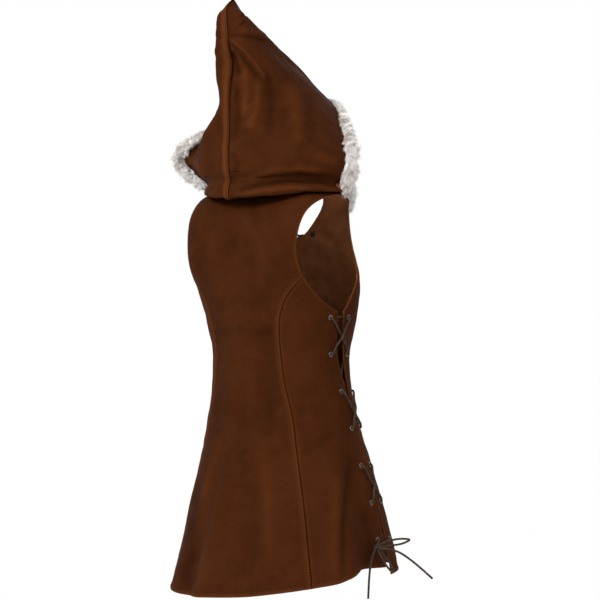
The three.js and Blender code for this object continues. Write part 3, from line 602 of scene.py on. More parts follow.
def leather_material():
    m = Nodes("brown garment leather")
    clouds = m.span(m.noise(7, 4, 0.55), 0.3, 0.7)
    patches = m.span(m.noise(30, 5, 0.62), 0.35, 0.7)
    colour = m.mix(clouds, linear(49, 21, 6), linear(61, 29, 10))
    colour = m.mix(m.maths("MULTIPLY", patches, 0.55), colour, linear(66, 32, 14))
    scuffs = m.span(m.noise(160, 4, 0.7), 0.5, 0.75)
    colour = m.mix(m.maths("MULTIPLY", scuffs, 0.25), colour, linear(78, 42, 20))
    pores = m.span(m.cells(1150), 0.0, 0.6)
    colour = m.mix(m.span(pores, 0, 0.5, 0.35, 0), colour, linear(26, 10, 3))
    light, dark, flesh = m.tone()
    # painted highlight, where the tone's first channel asks for it
    colour = m.mix(m.maths("MULTIPLY", light, 0.8), colour, linear(118, 64, 29))
    colour = m.mix(flesh, colour, m.mix(patches, linear(134, 82, 50), linear(158, 102, 66)))
    # painted shade, where the tone's second channel asks for it
    colour = m.mix(m.maths("MULTIPLY", dark, 0.85), colour, linear(16, 6, 2))
    m.shader.inputs["Specular Tint"].default_value = (1, 0.72, 0.5, 1)
    m.bumps((m.noise(26, 4, 0.55), 0.3, 0.006), (m.noise(420, 3, 0.6), 0.25, 0.0008), (pores, 0.35, 0.0004))
    return m.finish(colour, m.span(m.noise(70, 4), 0.3, 0.7, 0.56, 0.72), 0.022)


def lace_material():
    m = Nodes("dark leather lace")
    colour = m.mix(m.span(m.noise(160, 3), 0.3, 0.7), linear(40, 28, 20), linear(62, 46, 34))
    m.bumps((m.noise(900, 3), 0.5, 0.0006))
    return m.finish(colour, m.span(m.noise(300, 3), 0.3, 0.7, 0.55, 0.8), 0.2)


def thread_material():
    m = Nodes("brown thread")
    m.bumps((m.noise(2500, 2), 0.4, 0.0002))
    return m.finish(m.mix(m.noise(700, 2), linear(104, 58, 26), linear(124, 72, 34)), 0.7, 0.05)


def metal_material():
    m = Nodes("antique silver")
    worn = m.span(m.noise(500, 4), 0.35, 0.7)
    m.shader.inputs["Metallic"].default_value = 1
    m.bumps((m.noise(900, 3), 0.2, 0.0003))
    return m.finish(m.mix(worn, (0.07, 0.06, 0.05), (0.24, 0.22, 0.19)), m.span(worn, 0, 1, 0.42, 0.28))


def fur_material():
    m = Nodes("white fur with grey patches")
    patches = m.span(m.noise(40, 3, 0.5), 0.5, 0.66)
    tufts = m.span(m.noise(190, 3, 0.6), 0.4, 0.7)
    dark = m.tone()[1]
    white = m.mix(tufts, linear(254, 253, 251), linear(240, 236, 232))
    colour = m.mix(m.maths("MULTIPLY", patches, 0.62), white, linear(190, 176, 165))
    # painted shade at the hairs' roots and on the fur's skin
    colour = m.mix(m.maths("MULTIPLY", dark, 0.42), colour, linear(180, 168, 158))
    m.shader.inputs["Sheen Weight"].default_value = 0.6
    m.bumps((m.noise(1200, 3), 0.3, 0.0008))
    return m.finish(colour, 0.8, 0.2)


# The needle holes are painted near black: painted shade inside them.
def hole_shade_material():
    m = Nodes("needle holes")
    return m.finish(m.mix(m.noise(900, 2), linear(9, 4, 1), linear(16, 7, 3)), 0.9, 0.02)


leather = leather_material()
lace = lace_material()
thread = thread_material()
metal = metal_material()
holes = hole_shade_material()
fur = fur_material()


def dress(obj, material, slot, *nodes):
    """Gives a piece its material and its body, and hides the CAD nodes that it stands for; the slot is not used."""
    obj.data.materials.clear()
    obj.data.materials.append(material)
    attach(obj, "root")
    if nodes:
        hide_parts(*nodes)
    return obj


# ---- laces: the cords come first ----
def rounded(points, steps):
    """A centripetal cubic through the points, with so many steps between two of them."""
    p = np.array(points, float)
    p = np.concatenate([[2 * p[0] - p[1]], p, [2 * p[-1] - p[-2]]])
    made = [p[1]]
    for four in zip(p[:-3], p[1:-2], p[2:-1], p[3:]):
        k = [0.0]
        for x, y in zip(four, four[1:]):
            k.append(k[-1] + max(np.linalg.norm(y - x), 1e-6) ** 0.5)
        for t in np.linspace(k[1], k[2], steps + 1)[1:]:
            blend = lambda x, y, i, j: x * (k[j] - t) / (k[j] - k[i]) + y * (t - k[i]) / (k[j] - k[i])
            ab, bc, cd = (blend(four[i], four[i + 1], i, i + 1) for i in range(3))
            made.append(blend(blend(ab, bc, 0, 2), blend(bc, cd, 1, 3), 1, 2))
    return np.array(made)


def turns(count):
    """Angles of so many points round a circle."""
    return np.linspace(0, TAU, count + 1)[:-1]


def tube_parts(path, radius, sides, closed=False):
    """Points and faces of a round tube along a path; the frame is carried along, so it doesn't twist."""
    path = np.asarray(path, float)
    ahead = unit(np.gradient(path, axis=0)) if not closed else unit(np.roll(path, -1, 0) - np.roll(path, 1, 0))
    side = np.cross(ahead[0], [0, 0, 1.0])
    if np.linalg.norm(side) < 0.2:
        side = np.cross(ahead[0], [1.0, 0, 0])
    side = unit(side)
    points = []
    for at, way in zip(path, ahead):
        side = unit(side - way * (side @ way))
        up = np.cross(way, side)
        points += [at + radius * (math.cos(a) * side + math.sin(a) * up) for a in turns(sides)]
    return points, ring_faces(len(path), sides, closed)


def joined(name, parts):
    """One mesh from several lists of points and faces (each numbered from 0)."""
    points, faces = [], []
    for part_points, part_faces in parts:
        base = len(points)
        points += list(part_points)
        faces += [tuple(base + i for i in face) for face in part_faces]
    return mesh_object(name, points, faces)


LACE = 2.1  # radius of the lace
TUBE_SIDES = 12
EYELETS, EYELET_TOP, EYELET_PITCH = 7, -226, 73
INSET = {"back": 20, "front": 16}  # of the eyelets from the laced edges
OVER, UNDER, CROSS = 4, -5.3, 4.9  # the cord's heights outside and inside, and its lift where it crosses itself


def eyelet_places(side):
    """Angles and levels of the middles of one opening's eyelets: the back row, then the front row."""
    rows = []
    for edge, away in (("back", -1), ("front", 1)):
        row = []
        for k in range(EYELETS):
            level = EYELET_TOP - k * EYELET_PITCH
            angle = float(LACED_EDGES(edge, np.array([level]))[0])
            rim = body_point(angle, level)
            row.append((side * (angle + away * math.degrees(INSET[edge] / math.hypot(rim[0], rim[1]))), level))
        rows.append(row)
    return rows


def lifted(angle, level, height):
    return body_point(angle, level) + body_normal(angle, level) * height


def bow_place(angle, level, height):
    at, out = body_point(angle, level), body_normal(angle, level)
    flat = unit(np.array([out[0], out[1], 0]))
    ahead = np.cross([0, 0, 1], flat) * math.copysign(1, angle)
    middle = at + flat * height
    return middle, lambda step: middle + ahead * step[0] + flat * step[1] + np.array([0, 0, step[2]]), (ahead, flat)


BOWS = {
    "right": ((101.5, -677, 9), [
        [(0, 0, 0), (12, 6, 8), (30, 34, 17), (43, 52, 16), (36, 38, 8), (17, 9, 2), (0, 0, 0)],
        [(0, 0, 0), (4, 6, -12), (14, 16, -36), (24, 22, -49), (27, 17, -38), (13, 6, -14), (0, 0, 0)]], [
        [(-7, 4, -7), (-16, 9, -18), (-24, 13, -37), (-29, 16, -58), (-32, 18, -80), (-33, 18, -98)],
        [(5, 9, -2), (16, 17, -3), (33, 29, -9), (53, 41, -24), (74, 53, -44), (92, 62, -62)]]),
    "left": ((-101.5, -677, 9), [
        [(0, 0, 0), (12, 6, 8), (27, 28, 14), (38, 40, 8), (32, 30, 2), (16, 9, 0), (0, 0, 0)],
        [(0, 0, 0), (-2, 7, -13), (-36, 14, -60), (-62, 22, -111), (-52, 22, -108), (-24, 13, -58), (0, 0, 0)]], [
        [(-9, 4, -2), (-22, 9, -12), (-34, 14, -32), (-40, 19, -56), (-40, 22, -76), (-38, 24, -92)],
        [(7, 9, -4), (20, 16, -14), (36, 22, -34), (46, 26, -58), (52, 28, -80), (56, 28, -100)]]),
    "neck": ((180, NECK, 11), [
        [(0, 0, 0), (13, 7, 3), (34, 20, -7), (44, 26, -16), (34, 25, -19), (13, 11, -6), (0, 0, 0)],
        [(0, 0, 0), (-13, 7, 3), (-32, 19, -5), (-43, 25, -15), (-33, 24, -18), (-13, 11, -6), (0, 0, 0)]], [
        [(4, 6, -9), (10, 20, -17), (14, 34, -34), (18, 44, -56), (20, 52, -80), (21, 57, -100)],
        [(-4, 6, -9), (-10, 21, -17), (-13, 35, -36), (-18, 46, -59), (-22, 54, -84), (-23, 59, -106)]]),
}
KNOT = 7.0  # the knot's size, of which its core and turns are shares


def knot_parts(middle, ahead, flat):
    """The knot of a bow: a core with two turns of lace over it."""
    up = np.array([0, 0, 1.0])
    parts = []
    a = turns(24)[:, None]
    for shift, tilt, size in ((-1.7, 0.25, 0.52), (1.9, -0.5, 0.5)):
        lean = unit(ahead * math.sin(tilt) + up * math.cos(tilt))
        ring = middle + ahead * shift + KNOT * size * (np.cos(a) * flat + np.sin(a) * lean)
        parts.append(tube_parts(ring, LACE * 0.95, 10, closed=True))
    a, b = (grid[..., None] for grid in np.meshgrid(turns(12), np.linspace(0.15, math.pi - 0.15, 7)))
    core = middle + KNOT * 0.62 * (np.cos(b) * ahead + 0.9 * np.sin(b) * (np.cos(a) * flat + np.sin(a) * up))
    parts.append((list(core.reshape(-1, 3)), ring_faces(7, 12)))
    return parts


bow_pieces = {}
for name, (place, loops, ends) in BOWS.items():
    middle, step, (ahead, flat) = bow_place(*place)
    parts = [tube_parts(rounded([step(p) for p in loop], 5), LACE, TUBE_SIDES) for loop in loops]
    bow = dress(joined(f"bow_{name}_lace", parts + knot_parts(middle, ahead, flat)), lace, "lace", f"bow_{name}")
    bow_pieces[name] = (bow, middle)
    for k, end in enumerate(ends):
        path = rounded([middle, *(step(p) for p in end)], 5)
        points, faces = tube_parts(path, LACE, TUBE_SIDES)
        free = dress(mesh_object(f"free_end_{name}_{k + 1}", points, faces), lace, "lace", f"lace_end_{name}_{k + 1}")

for side, name in ((1, "right"), (-1, "left")):
    eyelets = eyelet_places(side)
    middle = bow_pieces[name][1]
    # Up one zigzag from the lowest eyelets and down the other: edge, row and how far the cord is lifted on its way.
    visits = [((6 - row) % 2, row, 0) for row in range(6, -1, -1)] + [((7 - row) % 2, row, CROSS) for row in range(7)]
    points = [middle]
    height = OVER
    for i, (edge, row, lift) in enumerate(visits):
        angle, level = eyelets[edge][row]
        points.append(lifted(angle, level, height))
        height = UNDER if height == OVER else OVER
        points.append(lifted(angle, level, height))
        if i + 1 == len(visits):
            break
        next_edge, next_row, next_lift = visits[i + 1]
        to_angle, to_level = eyelets[next_edge][next_row]
        for part in ((0.5,) if next_lift == 0 else (0.25, 0.5, 0.75)):
            rise = 0 if next_row == row else next_lift * (1 if part == 0.5 else 0.35)
            points.append(lifted(angle + (to_angle - angle) * part, level + (to_level - level) * part,
                                 height + math.copysign(rise, height)))
    points.append(middle)
    path = rounded(points, 4)
    dress(mesh_object(f"side_lace_{name}", *tube_parts(path, LACE, 10)), lace, "lace", f"lace_{name}")

NECK_EYELETS = {"right": (149, -5), "left": (211, -5)}
STOPPER = 4.6  # radius of the knot behind the eyelet
for name, place in NECK_EYELETS.items():
    behind = lifted(*place, -LEATHER - 1.2 - STOPPER)
    route = [behind, lifted(*place, UNDER + 2), lifted(*place, OVER), bow_pieces["neck"][1]]
    out = body_normal(*place)
    parts = [tube_parts(rounded(route, 8), LACE, TUBE_SIDES)]
    turn = unit(np.cross(out, [0, 0, 1]))
    a = turns(20)[:, None]
    for tilt in (0.5, -0.6):
        lean = unit(turn * math.sin(tilt) + np.cross(turn, out) * math.cos(tilt))
        parts.append(tube_parts(behind + 2.5 * (np.cos(a) * out * 0.8 + np.sin(a) * lean), LACE, 10, closed=True))
    dress(joined(f"neck_tie_{name}", parts), lace, "lace", f"tie_{name}")

# ---- eyelets ----
# An eyelet's section: radius and height over the leather's outer face.
PROFILE = [(2.6, -2.9), (3.1, -3.0), (4.6, -2.6), (4.9, -2.2), (3.2, -2.05), (3.15, 0.5), (5.35, 0.35), (5.5, 0.75),
           (5.1, 1.25), (4.3, 1.6), (3.4, 1.6), (2.8, 1.25), (2.6, 0.6)]


def eyelet_parts(angle, level):
    at, out = body_point(angle, level), body_normal(angle, level)
    side = unit(np.cross(out, [0, 0, 1]))
    up = np.cross(side, out)
    points = [at + out * y + r * (math.cos(a) * side + math.sin(a) * up) for r, y in PROFILE for a in turns(28)]
    return points, [face[::-1] for face in ring_faces(len(PROFILE), 28, closed=True)]


rings, ring_nodes = [], []
for side, name in ((1, "right"), (-1, "left")):
    back_row, front_row = eyelet_places(side)
    rings += [eyelet_parts(*place) for place in [*back_row, *front_row, NECK_EYELETS[name]]]
    ring_nodes += [f"eyelet_{edge}_{name}_{k + 1}" for edge in ("back", "front") for k in range(EYELETS)]
    ring_nodes.append(f"eyelet_neck_{name}")
dress(joined("silver_eyelets", rings), metal, "metal", *ring_nodes)


HOLE_RADIUS = 3.9


def punch(obj, places):
    """Cuts the eyelets' round holes through a shell."""
    pins = [[lifted(*place, height) for height in (-7, 7)] for place in places]
    tool = joined("punch", [tube_parts(pin, HOLE_RADIUS, 20) for pin in pins])
    cut = obj.modifiers.new("holes", "BOOLEAN")
    cut.operation, cut.solver, cut.object = "DIFFERENCE", "EXACT", tool
    bpy.context.view_layer.update()
    old = obj.data
    obj.data = bpy.data.meshes.new_from_object(obj.evaluated_get(bpy.context.evaluated_depsgraph_get()))
    obj.modifiers.clear()
    obj.data.name = obj.name
    bpy.data.meshes.remove(old)
    bpy.data.objects.remove(tool)
    obj.data.polygons.foreach_set("use_smooth", [True] * len(obj.data.polygons))


# ---- the body's panels ----
SEAM_STITCH, SECOND_STITCH, EDGE_STITCH, HEM_STITCH = 4.8, 11.0, 5.5, 8.0
SEWN, FREE, LONG_SEAM = (0, 1), (2, 2), (0, ARM_PART)  # the share of an edge that is sewn to a neighbour
UNSTITCHED = (None, [], SEWN)
SEAMED = (SEAM_STITCH, [(SECOND_STITCH, (0.012, ARM_PART)), (SEAM_STITCH, (0.012, 0.985))], LONG_SEAM)


def stitched(where, low, high):
    """A free edge with one row of stitches along a share of it."""
    return where, [(where, (low, high))], FREE


BODY_CREASES = [
    (-1.1, 7, [(212, 318), (236, 330), (262, 334), (281, 331)]),
    (0.8, 8, [(206, 348), (232, 356), (262, 353)]),
    (-0.8, 9, [(222, 296), (246, 306), (270, 300)]),
    (0.9, 10, [(240, 215), (258, 240), (262, 270)]),
    (-0.9, 10, [(285, 250), (270, 275), (262, 310)]),
    (-1.5, 12, [(226, 420), (222, 480), (218, 560)]),
    (1.3, 12, [(262, 430), (266, 500), (270, 580)]),
    (-2.4, 6, [(351, 452), (347, 490), (344, 535), (344, 590)]),
    (1.5, 9, [(338, 470), (335, 520), (333, 585)]),
    (-1.6, 10, [(362, 500), (371, 538), (366, 572)]),
    (-1.3, 9, [(300, 455), (318, 447), (336, 430)]),
    (-1.5, 24, [(262, 310), (270, 345), (268, 400), (262, 440)]),
    (1.2, 22, [(226, 300), (230, 350), (228, 400)]),
    (-1.0, 20, [(250, 470), (252, 520), (256, 580)]),
]
# Creases that only the left half has.
LEFT_CREASES = [
    (-4.6, 14, [(196, 462), (192, 520), (184, 600)]),
    (2.2, 10, [(209, 470), (205, 530), (200, 600)]),
    (-1.4, 12, [(196, 250), (206, 285), (212, 330)]),
]
FRONT_CREASES = [
    (-1.0, 9, [(320, 225), (336, 240), (344, 262)]),
    (0.8, 9, [(306, 246), (322, 262), (330, 285)]),
]


def pulls(points, places):
    """Dimples and short drawn wrinkles round the eyelets."""
    total = 0
    for place in places:
        at = body_point(*place)
        d = np.linalg.norm(points - at, axis=-1)
        rise = points[..., 2] - at[2]
        total = total - 0.75 * bump(d, 0, 8.5) + 0.5 * bump(d, 13, 5) * np.cos(rise / 4.2)
    return total


RIDGE_HIGHLIGHT, FOLD_SHADE = 0.045, 0.11  # how much painted highlight a ridge gets and painted shade a fold gets, for a millimetre of it


def body_panel(name, paths, columns, rows, crowd_u, crowd_v, edges, places=(), creases=(), flip=False):
    """One leather panel of the body. edges gives for each side how far in its groove is, its rows of stitches, each
    with its share of the side, and the share that is sewn to a neighbour."""
    u, v = spread(columns, crowd_u), spread(rows, crowd_v)
    at = coons(paths["bottom"], paths["top"], paths["left"], paths["right"], u, v)
    angle, level = at[..., 0], at[..., 1]
    outer = body_point(angle, level)
    normals = body_normal(angle, level)
    from_left, from_right = walked(outer, 1)
    from_bottom, from_top = walked(outer, 0)
    sides = {"left": (from_left, 1), "right": (from_right, 1), "bottom": (from_bottom, 0), "top": (from_top, 0)}
    height, light, dark, under = np.zeros((4, *angle.shape))
    nearest = np.minimum.reduce([distance for distance, _ in sides.values()])
    for key, (distance, axis) in sides.items():
        stitch, stitch_rows, sewn_share = edges[key]
        run = outer[..., 2] if axis == 1 else angle * 2.6
        gather = 1 + 0.4 * np.sin(run * 0.42) * np.sin(run * 0.13 + 1)
        if (key, sewn_share) != ("top", SEWN):  # the hood stands on that edge
            height += edge_relief(distance, stitch) * (gather if stitch else 1)
        part = v[:, None] if axis == 1 else u[None, :]
        seam = (part >= sewn_share[0]) & (part <= sewn_share[1])  # sewn to its neighbour here; elsewhere a cut edge
        # painted highlight beside a seam and on a cut edge, painted shade in a seam's groove
        light += np.where(seam, 0.1 * bump(distance, 3.4, 2.4), 0.5 * bump(distance, 0.2, 1.0))
        dark += np.where(seam, 0.9 * bump(distance, 0, 0.9), 0)
        under = np.maximum(under, np.where(seam, DOUBLED * np.clip((ALLOWANCE - distance) / 2, 0, 1), 0))
        for where, (low, high) in stitch_rows:
            held = 1 / (1 + np.exp(-(high - part) * 60))
            height -= held * 0.3 * bump(distance, where, 1.3)
            # painted shade in the groove under a row of stitches, painted highlight on the band beside it
            dark += held * 0.3 * bump(distance, where, 1.2)
            light += held * 0.13 * bump(distance, 0.5 * where + 1, 0.4 * where)
    inner_part = np.clip(nearest / 14, 0, 1)
    mirror = angle < 0
    look = outer.copy()
    look[..., 0] = np.where(mirror, -look[..., 0], look[..., 0])
    crease = inner_part * (creased(look, creases) * np.where(mirror, 1.2, 1.7) + creased(outer, LEFT_CREASES) * mirror)
    height += inner_part * undulation(outer, 1.3) + crease
    # painted highlight on crease ridges and painted shade in crease folds
    light += RIDGE_HIGHLIGHT * np.maximum(crease, 0)
    dark += FOLD_SHADE * np.maximum(-crease, 0)
    height += pulls(outer, places)
    tones = np.stack([np.clip(light, 0, 1), np.clip(dark, 0, 1)], -1)
    obj, face = shell(name + "_leather", outer, normals, height, tones, flip, under)
    if places:
        punch(obj, places)
    dress(obj, leather, "leather", name)
    sewn = Stitches()
    for key, (distance, axis) in sides.items():
        for where, (low, high) in edges[key][1]:
            points, ways = line_at(face, normals, distance, where, axis)
            run = v if axis == 1 else u
            keep = (run >= low) & (run <= high)
            sewn.row(points[keep], ways[keep])
    stitches = sewn.made(name + "_stitching")


back_right = long_side(BACK_PRINCESS, ARMHOLE_BACK, 1, -1, HEM)
back_left = long_side(BACK_PRINCESS, ARMHOLE_BACK, -1, -1, HEM)
neck_end = SHOULDER - float(seam_shift(SHOULDER, NECK))
corner, top_end = angle_at(back_right, 0.0), angle_at(back_right, 1.0)
body_panel("back", {
    "bottom": hem_path(HEM, -corner, corner), "top": neck_path(-top_end, top_end, 14, -neck_end, neck_end),
    "left": back_left, "right": back_right,
}, 62, 118, [(0.0, 0.045, 19), (1.0, 0.045, 19)], [(0.0, 0.018, 13), (ARM_PART, 0.01, 5), (1.0, 0.03, 11)], {
    "left": SEAMED, "right": SEAMED, "bottom": stitched(HEM_STITCH, 0.0, 1.0), "top": UNSTITCHED,
}, creases=BODY_CREASES)

for side, name in ((1, "right"), (-1, "left")):
    back_places, front_places = eyelet_places(side)
    start = seam_path(BACK_PRINCESS, side, 1, HEM)
    end = laced_path("back", side, HEM)
    body_panel(f"back_side_{name}", {
        "bottom": hem_path(HEM, angle_at(start, 0.0), angle_at(end, 0.0)),
        "top": arm_path(ARMHOLE_BACK, side, JUNCTION, 0), "left": start, "right": end,
    }, 38, 105, [(0.0, 0.09, 15), (1.0, 0.2, 21)], [(0.0, 0.025, 13), (1.0, 0.03, 13)], {
        "left": UNSTITCHED, "right": stitched(EDGE_STITCH, 0.012, 0.97),
        "bottom": stitched(HEM_STITCH, 0.0, 0.96), "top": stitched(EDGE_STITCH, 0.0, 0.96),
    }, places=back_places, creases=BODY_CREASES, flip=side < 0)
    start = laced_path("front", 1, HEM_FRONT)
    end = seam_path(FRONT_PRINCESS, 1, -1, HEM_FRONT)
    paths = {
        "bottom": hem_path(HEM_FRONT, angle_at(start, 0.0), angle_at(end, 0.0)),
        "top": arm_path(ARMHOLE_FRONT, 1, 0, JUNCTION), "left": start, "right": end,
    }
    if side < 0:
        paths = {key: over_front(path) for key, path in paths.items()}
    body_panel(f"front_side_{name}", paths, 30, 100, [(0.0, 0.25, 21), (1.0, 0.1, 13)],
               [(0.0, 0.025, 13), (1.0, 0.03, 13)], {
        "left": stitched(EDGE_STITCH, 0.012, 0.97), "right": UNSTITCHED,
        "bottom": stitched(HEM_STITCH, 0.04, 1.0), "top": stitched(EDGE_STITCH, 0.04, 1.0),
    }, places=front_places, flip=side < 0)

front_right = long_side(FRONT_PRINCESS, ARMHOLE_FRONT, 1, 1, HEM_FRONT)
start, top_end = angle_at(front_right, 0.0), angle_at(front_right, 1.0)
neck_end = SHOULDER + float(seam_shift(SHOULDER, NECK))
body_panel("front", {
    "bottom": hem_path(HEM_FRONT, start, 360 - start),
    "top": neck_path(top_end, 360 - top_end, 16, neck_end, 360 - neck_end),
    "left": front_right, "right": over_front(front_right),
}, 52, 110, [(0.0, 0.05, 19), (1.0, 0.05, 19)], [(0.0, 0.018, 13), (ARM_PART, 0.01, 5), (1.0, 0.03, 15)], {
    "left": SEAMED, "right": SEAMED, "bottom": stitched(HEM_STITCH, 0.0, 1.0), "top": stitched(EDGE_STITCH, 0.3, 0.7),
}, places=[*NECK_EYELETS.values()], creases=FRONT_CREASES)

# ---- hood ----
HOOD = Table("row backY backZ rearX rearY rearZ wideX wideY wideZ sideX sideY sideZ edgeX edgeY edgeZ", [
    (1, 116, 11, 60, 101, 13, 124, 62, 26, 161, 2, 38, 97, -60, 4),
    (2, 144, 9, 78, 132, 11, 144, 78, 17, 185, 6, 20, 112, -60, 4),
    (3, 149, 20, 82, 137, 22, 149, 84, 28, 184, 18, 24, 136, -40, 17),
    (4, 147, 34, 80, 134, 37, 144, 84, 42, 172, 32, 34, 160, -8, 32),
    (5, 142, 43, 75, 126, 48, 133, 79, 52, 163, 38, 47, 172, 6, 43),
    (6, 147, 62, 84, 137, 64, 146, 90, 66, 177, 44, 62, 186, 9, 58),
    (7, 148, 92, 86, 138, 92, 150, 92, 92, 180, 45, 90, 190, 9, 88),
    (8, 146, 140, 72, 140, 140, 121, 92, 139, 148, 30, 138, 148, -29, 137),
    (9, 144, 195, 27, 144, 193, 76, 84, 192, 108, 0, 190, 80, -85, 187),
    (10, 144, 268, 36, 145, 262, 66, 78, 250, 62, -34, 230, 34, -116, 206),
    (11, 151, 340, 37, 143, 340, 40, 84, 312, 29, -20, 268, 12, -130, 212),
    (11.5, 153, 382, 28, 137, 374, 26, 77, 338, 18, -30, 279, 6, -133, 213),
    (12, 131, 404, 0, 97, 367, 0, 54, 327, 0, -50, 277, 0, -136, 213),
])
LEFT_LIE = Table("row edgeX edgeY edgeZ rearX rearY wideX wideY sideX sideY", [
    (1, 0, 0, 0, 0, 0, 0, 0, 0, 0), (2, 0, 2, 2, -6, -8, -10, -7, 0, 0), (3, 2, 8, 6, -8, -9, -13, -8, 0, 2),
    (4, 4, 26, 6, -8, -8, -17, -8, -8, 4), (5, 8, 36, 9, 0, 0, -4, 0, 4, 10), (6, 10, 44, 10, 0, 0, 0, 0, 6, 16),
    (7, 17, 56, 10, 0, 0, 0, 0, 8, 24), (8, 16, 76, 0, 0, 0, 0, 0, 6, 20), (9, 14, 35, 0, 0, 0, 0, 0, 4, 8),
    (10, 4, 8, 0, 0, 0, 0, 0, 0, 0), (11, 0, 0, 0, 0, 0, 0, 0, 0, 0), (12, 0, 0, 0, 0, 0, 0, 0, 0, 0)])
STATIONS = [0, 0.3, 0.55, 0.8, 1]
NECK_ANGLES = Table("across neck", [
    (0, 0), (0.09, 8.8), (0.18, 17.6), (0.3, 35.2), (0.43, 52.8), (0.56, 70.4), (0.7, 88), (0.79, 95), (0.87, 102),
    (0.94, 112), (1, 123)])
TOP_ROW = 12


def hood_sections(across, row, left):
    """Points of the hood's sections; what the tables don't name is 0."""
    made = []
    for axis in "XYZ":
        values = np.zeros((len(STATIONS), len(row)))
        for value, name in zip(values, ("back", "rear", "wide", "side", "edge")):
            for table, weight in ((HOOD, 1), (LEFT_LIE, left)):
                if name + axis in table.names:
                    value += weight * table(name + axis, row)
        made.append(hermite(STATIONS, values, across))
    return np.stack([np.maximum(made[0], 0), made[1], made[2]], -1)


def hood_point(across, row, left):
    """A point of the hood's outer face, as if on the half with x > 0."""
    across, row = np.broadcast_arrays(np.asarray(across, float), np.asarray(row, float))
    shape = row.shape
    across, row = across.ravel(), row.ravel()
    points = hood_sections(across, np.maximum(row, 1), left)
    neck = body_point(-NECK_ANGLES("neck", across), np.full_like(across, NECK))
    neck[:, 2] += 0.1
    part = np.clip(row, 0, 1)[:, None]
    return np.where(row[:, None] < 1, neck * (1 - part) + points * part, points).reshape(shape + (3,))


def hood_normal(across, row, left):
    across, row = np.broadcast_arrays(np.asarray(across, float), np.asarray(row, float))
    over = hood_point(np.minimum(across + 0.01, 1), row, left) - hood_point(np.maximum(across - 0.01, 0), row, left)
    up = hood_point(across, np.minimum(row + 0.04, TOP_ROW), left) - hood_point(across, np.maximum(row - 0.04, 0), left)
    normal = unit(np.cross(up, over))
    flat = (across == 0) | (row >= TOP_ROW)
    normal[..., 0] = np.where(flat, 0, normal[..., 0])
    return unit(normal)


# Creases of the hood by their line in the picture: height, width and line.
HOOD_CREASES = [
    (3.2, 3.0, [(225, 38), (233, 41), (245, 52), (255, 63), (264, 76), (270, 84)]),
    (-2.6, 5.0, [(228, 44), (237, 50), (246, 60), (255, 72), (262, 82)]),
    (-4.0, 7.0, [(228, 50), (232, 57), (235, 68), (241, 78)]),
    (-2.0, 4.0, [(225, 36), (240, 36), (256, 38), (270, 42)]),
    (1.6, 6.0, [(240, 29), (254, 32), (268, 37)]),
    (-1.3, 2.6, [(232, 33), (240, 26), (248, 20)]),
    (-1.0, 2.4, [(236, 20), (244, 15), (252, 14)]),
    (3.2, 11, [(243, 64), (247, 90), (243, 120)]),
    (-2.6, 8, [(236, 82), (238, 110), (232, 145)]),
    (2.8, 9, [(259, 78), (258, 105), (247, 134)]),
    (-2.4, 10, [(268, 66), (273, 100), (268, 140)]),
    (2.2, 15, [(286, 78), (296, 110), (300, 150)]),
    (-1.6, 12, [(306, 90), (314, 120), (312, 150)]),
    (-1.2, 1.6, [(226, 172), (232, 172.5), (240, 172)]),
    (-3.6, 7, [(234, 192), (246, 187), (262, 182), (290, 179), (318, 180), (338, 184)]),
    (2.4, 7, [(244, 180), (270, 172), (300, 169), (330, 171)]),
    (2.6, 6, [(229, 196), (262, 191), (292, 188), (318, 190)]),
    (-2.0, 6, [(231, 150), (236, 165), (232, 186)]),
    (1.8, 10, [(318, 150), (326, 160), (340, 164)]),
    (-1.8, 5, [(296, 197), (306, 193), (320, 197), (334, 199)]),
    (1.2, 3, [(244, 112), (250, 108), (256, 101)]), (-0.9, 2.5, [(246, 118), (254, 111), (260, 104)]),
    (1.0, 3, [(262, 58), (270, 66), (274, 76)]), (-0.8, 2.5, [(238, 140), (246, 132), (250, 122)]),
]
LEFT_HOOD_CREASES = [
    (-4.2, 5, [(187, 163), (193, 171), (199, 178), (206, 188)]),
    (2.6, 5, [(190, 156), (198, 166), (208, 180)]),
    (-1.8, 8, [(212, 130), (209, 150), (212, 176)]),
]
# The roll of the seam on the left half at each row: how far it is raised and how wide it is.
SEAM_ROLL = Table("row height width", [
    (0, 0, 6), (1, 2.0, 7), (3, 4.0, 9), (6, 4.6, 9.5), (8, 4.6, 9), (9.2, 4.2, 8), (10, 5.6, 11), (10.5, 4.6, 10),
    (11.3, 3.0, 8), (12, 0, 5)])


FACE_STITCH = 5.0  # how far the hood's row of stitches is from the face edge
DENT = 8, 10.05, 0.42, 20  # the seam is drawn in under the point: how deep, at which row, over which rows, how wide


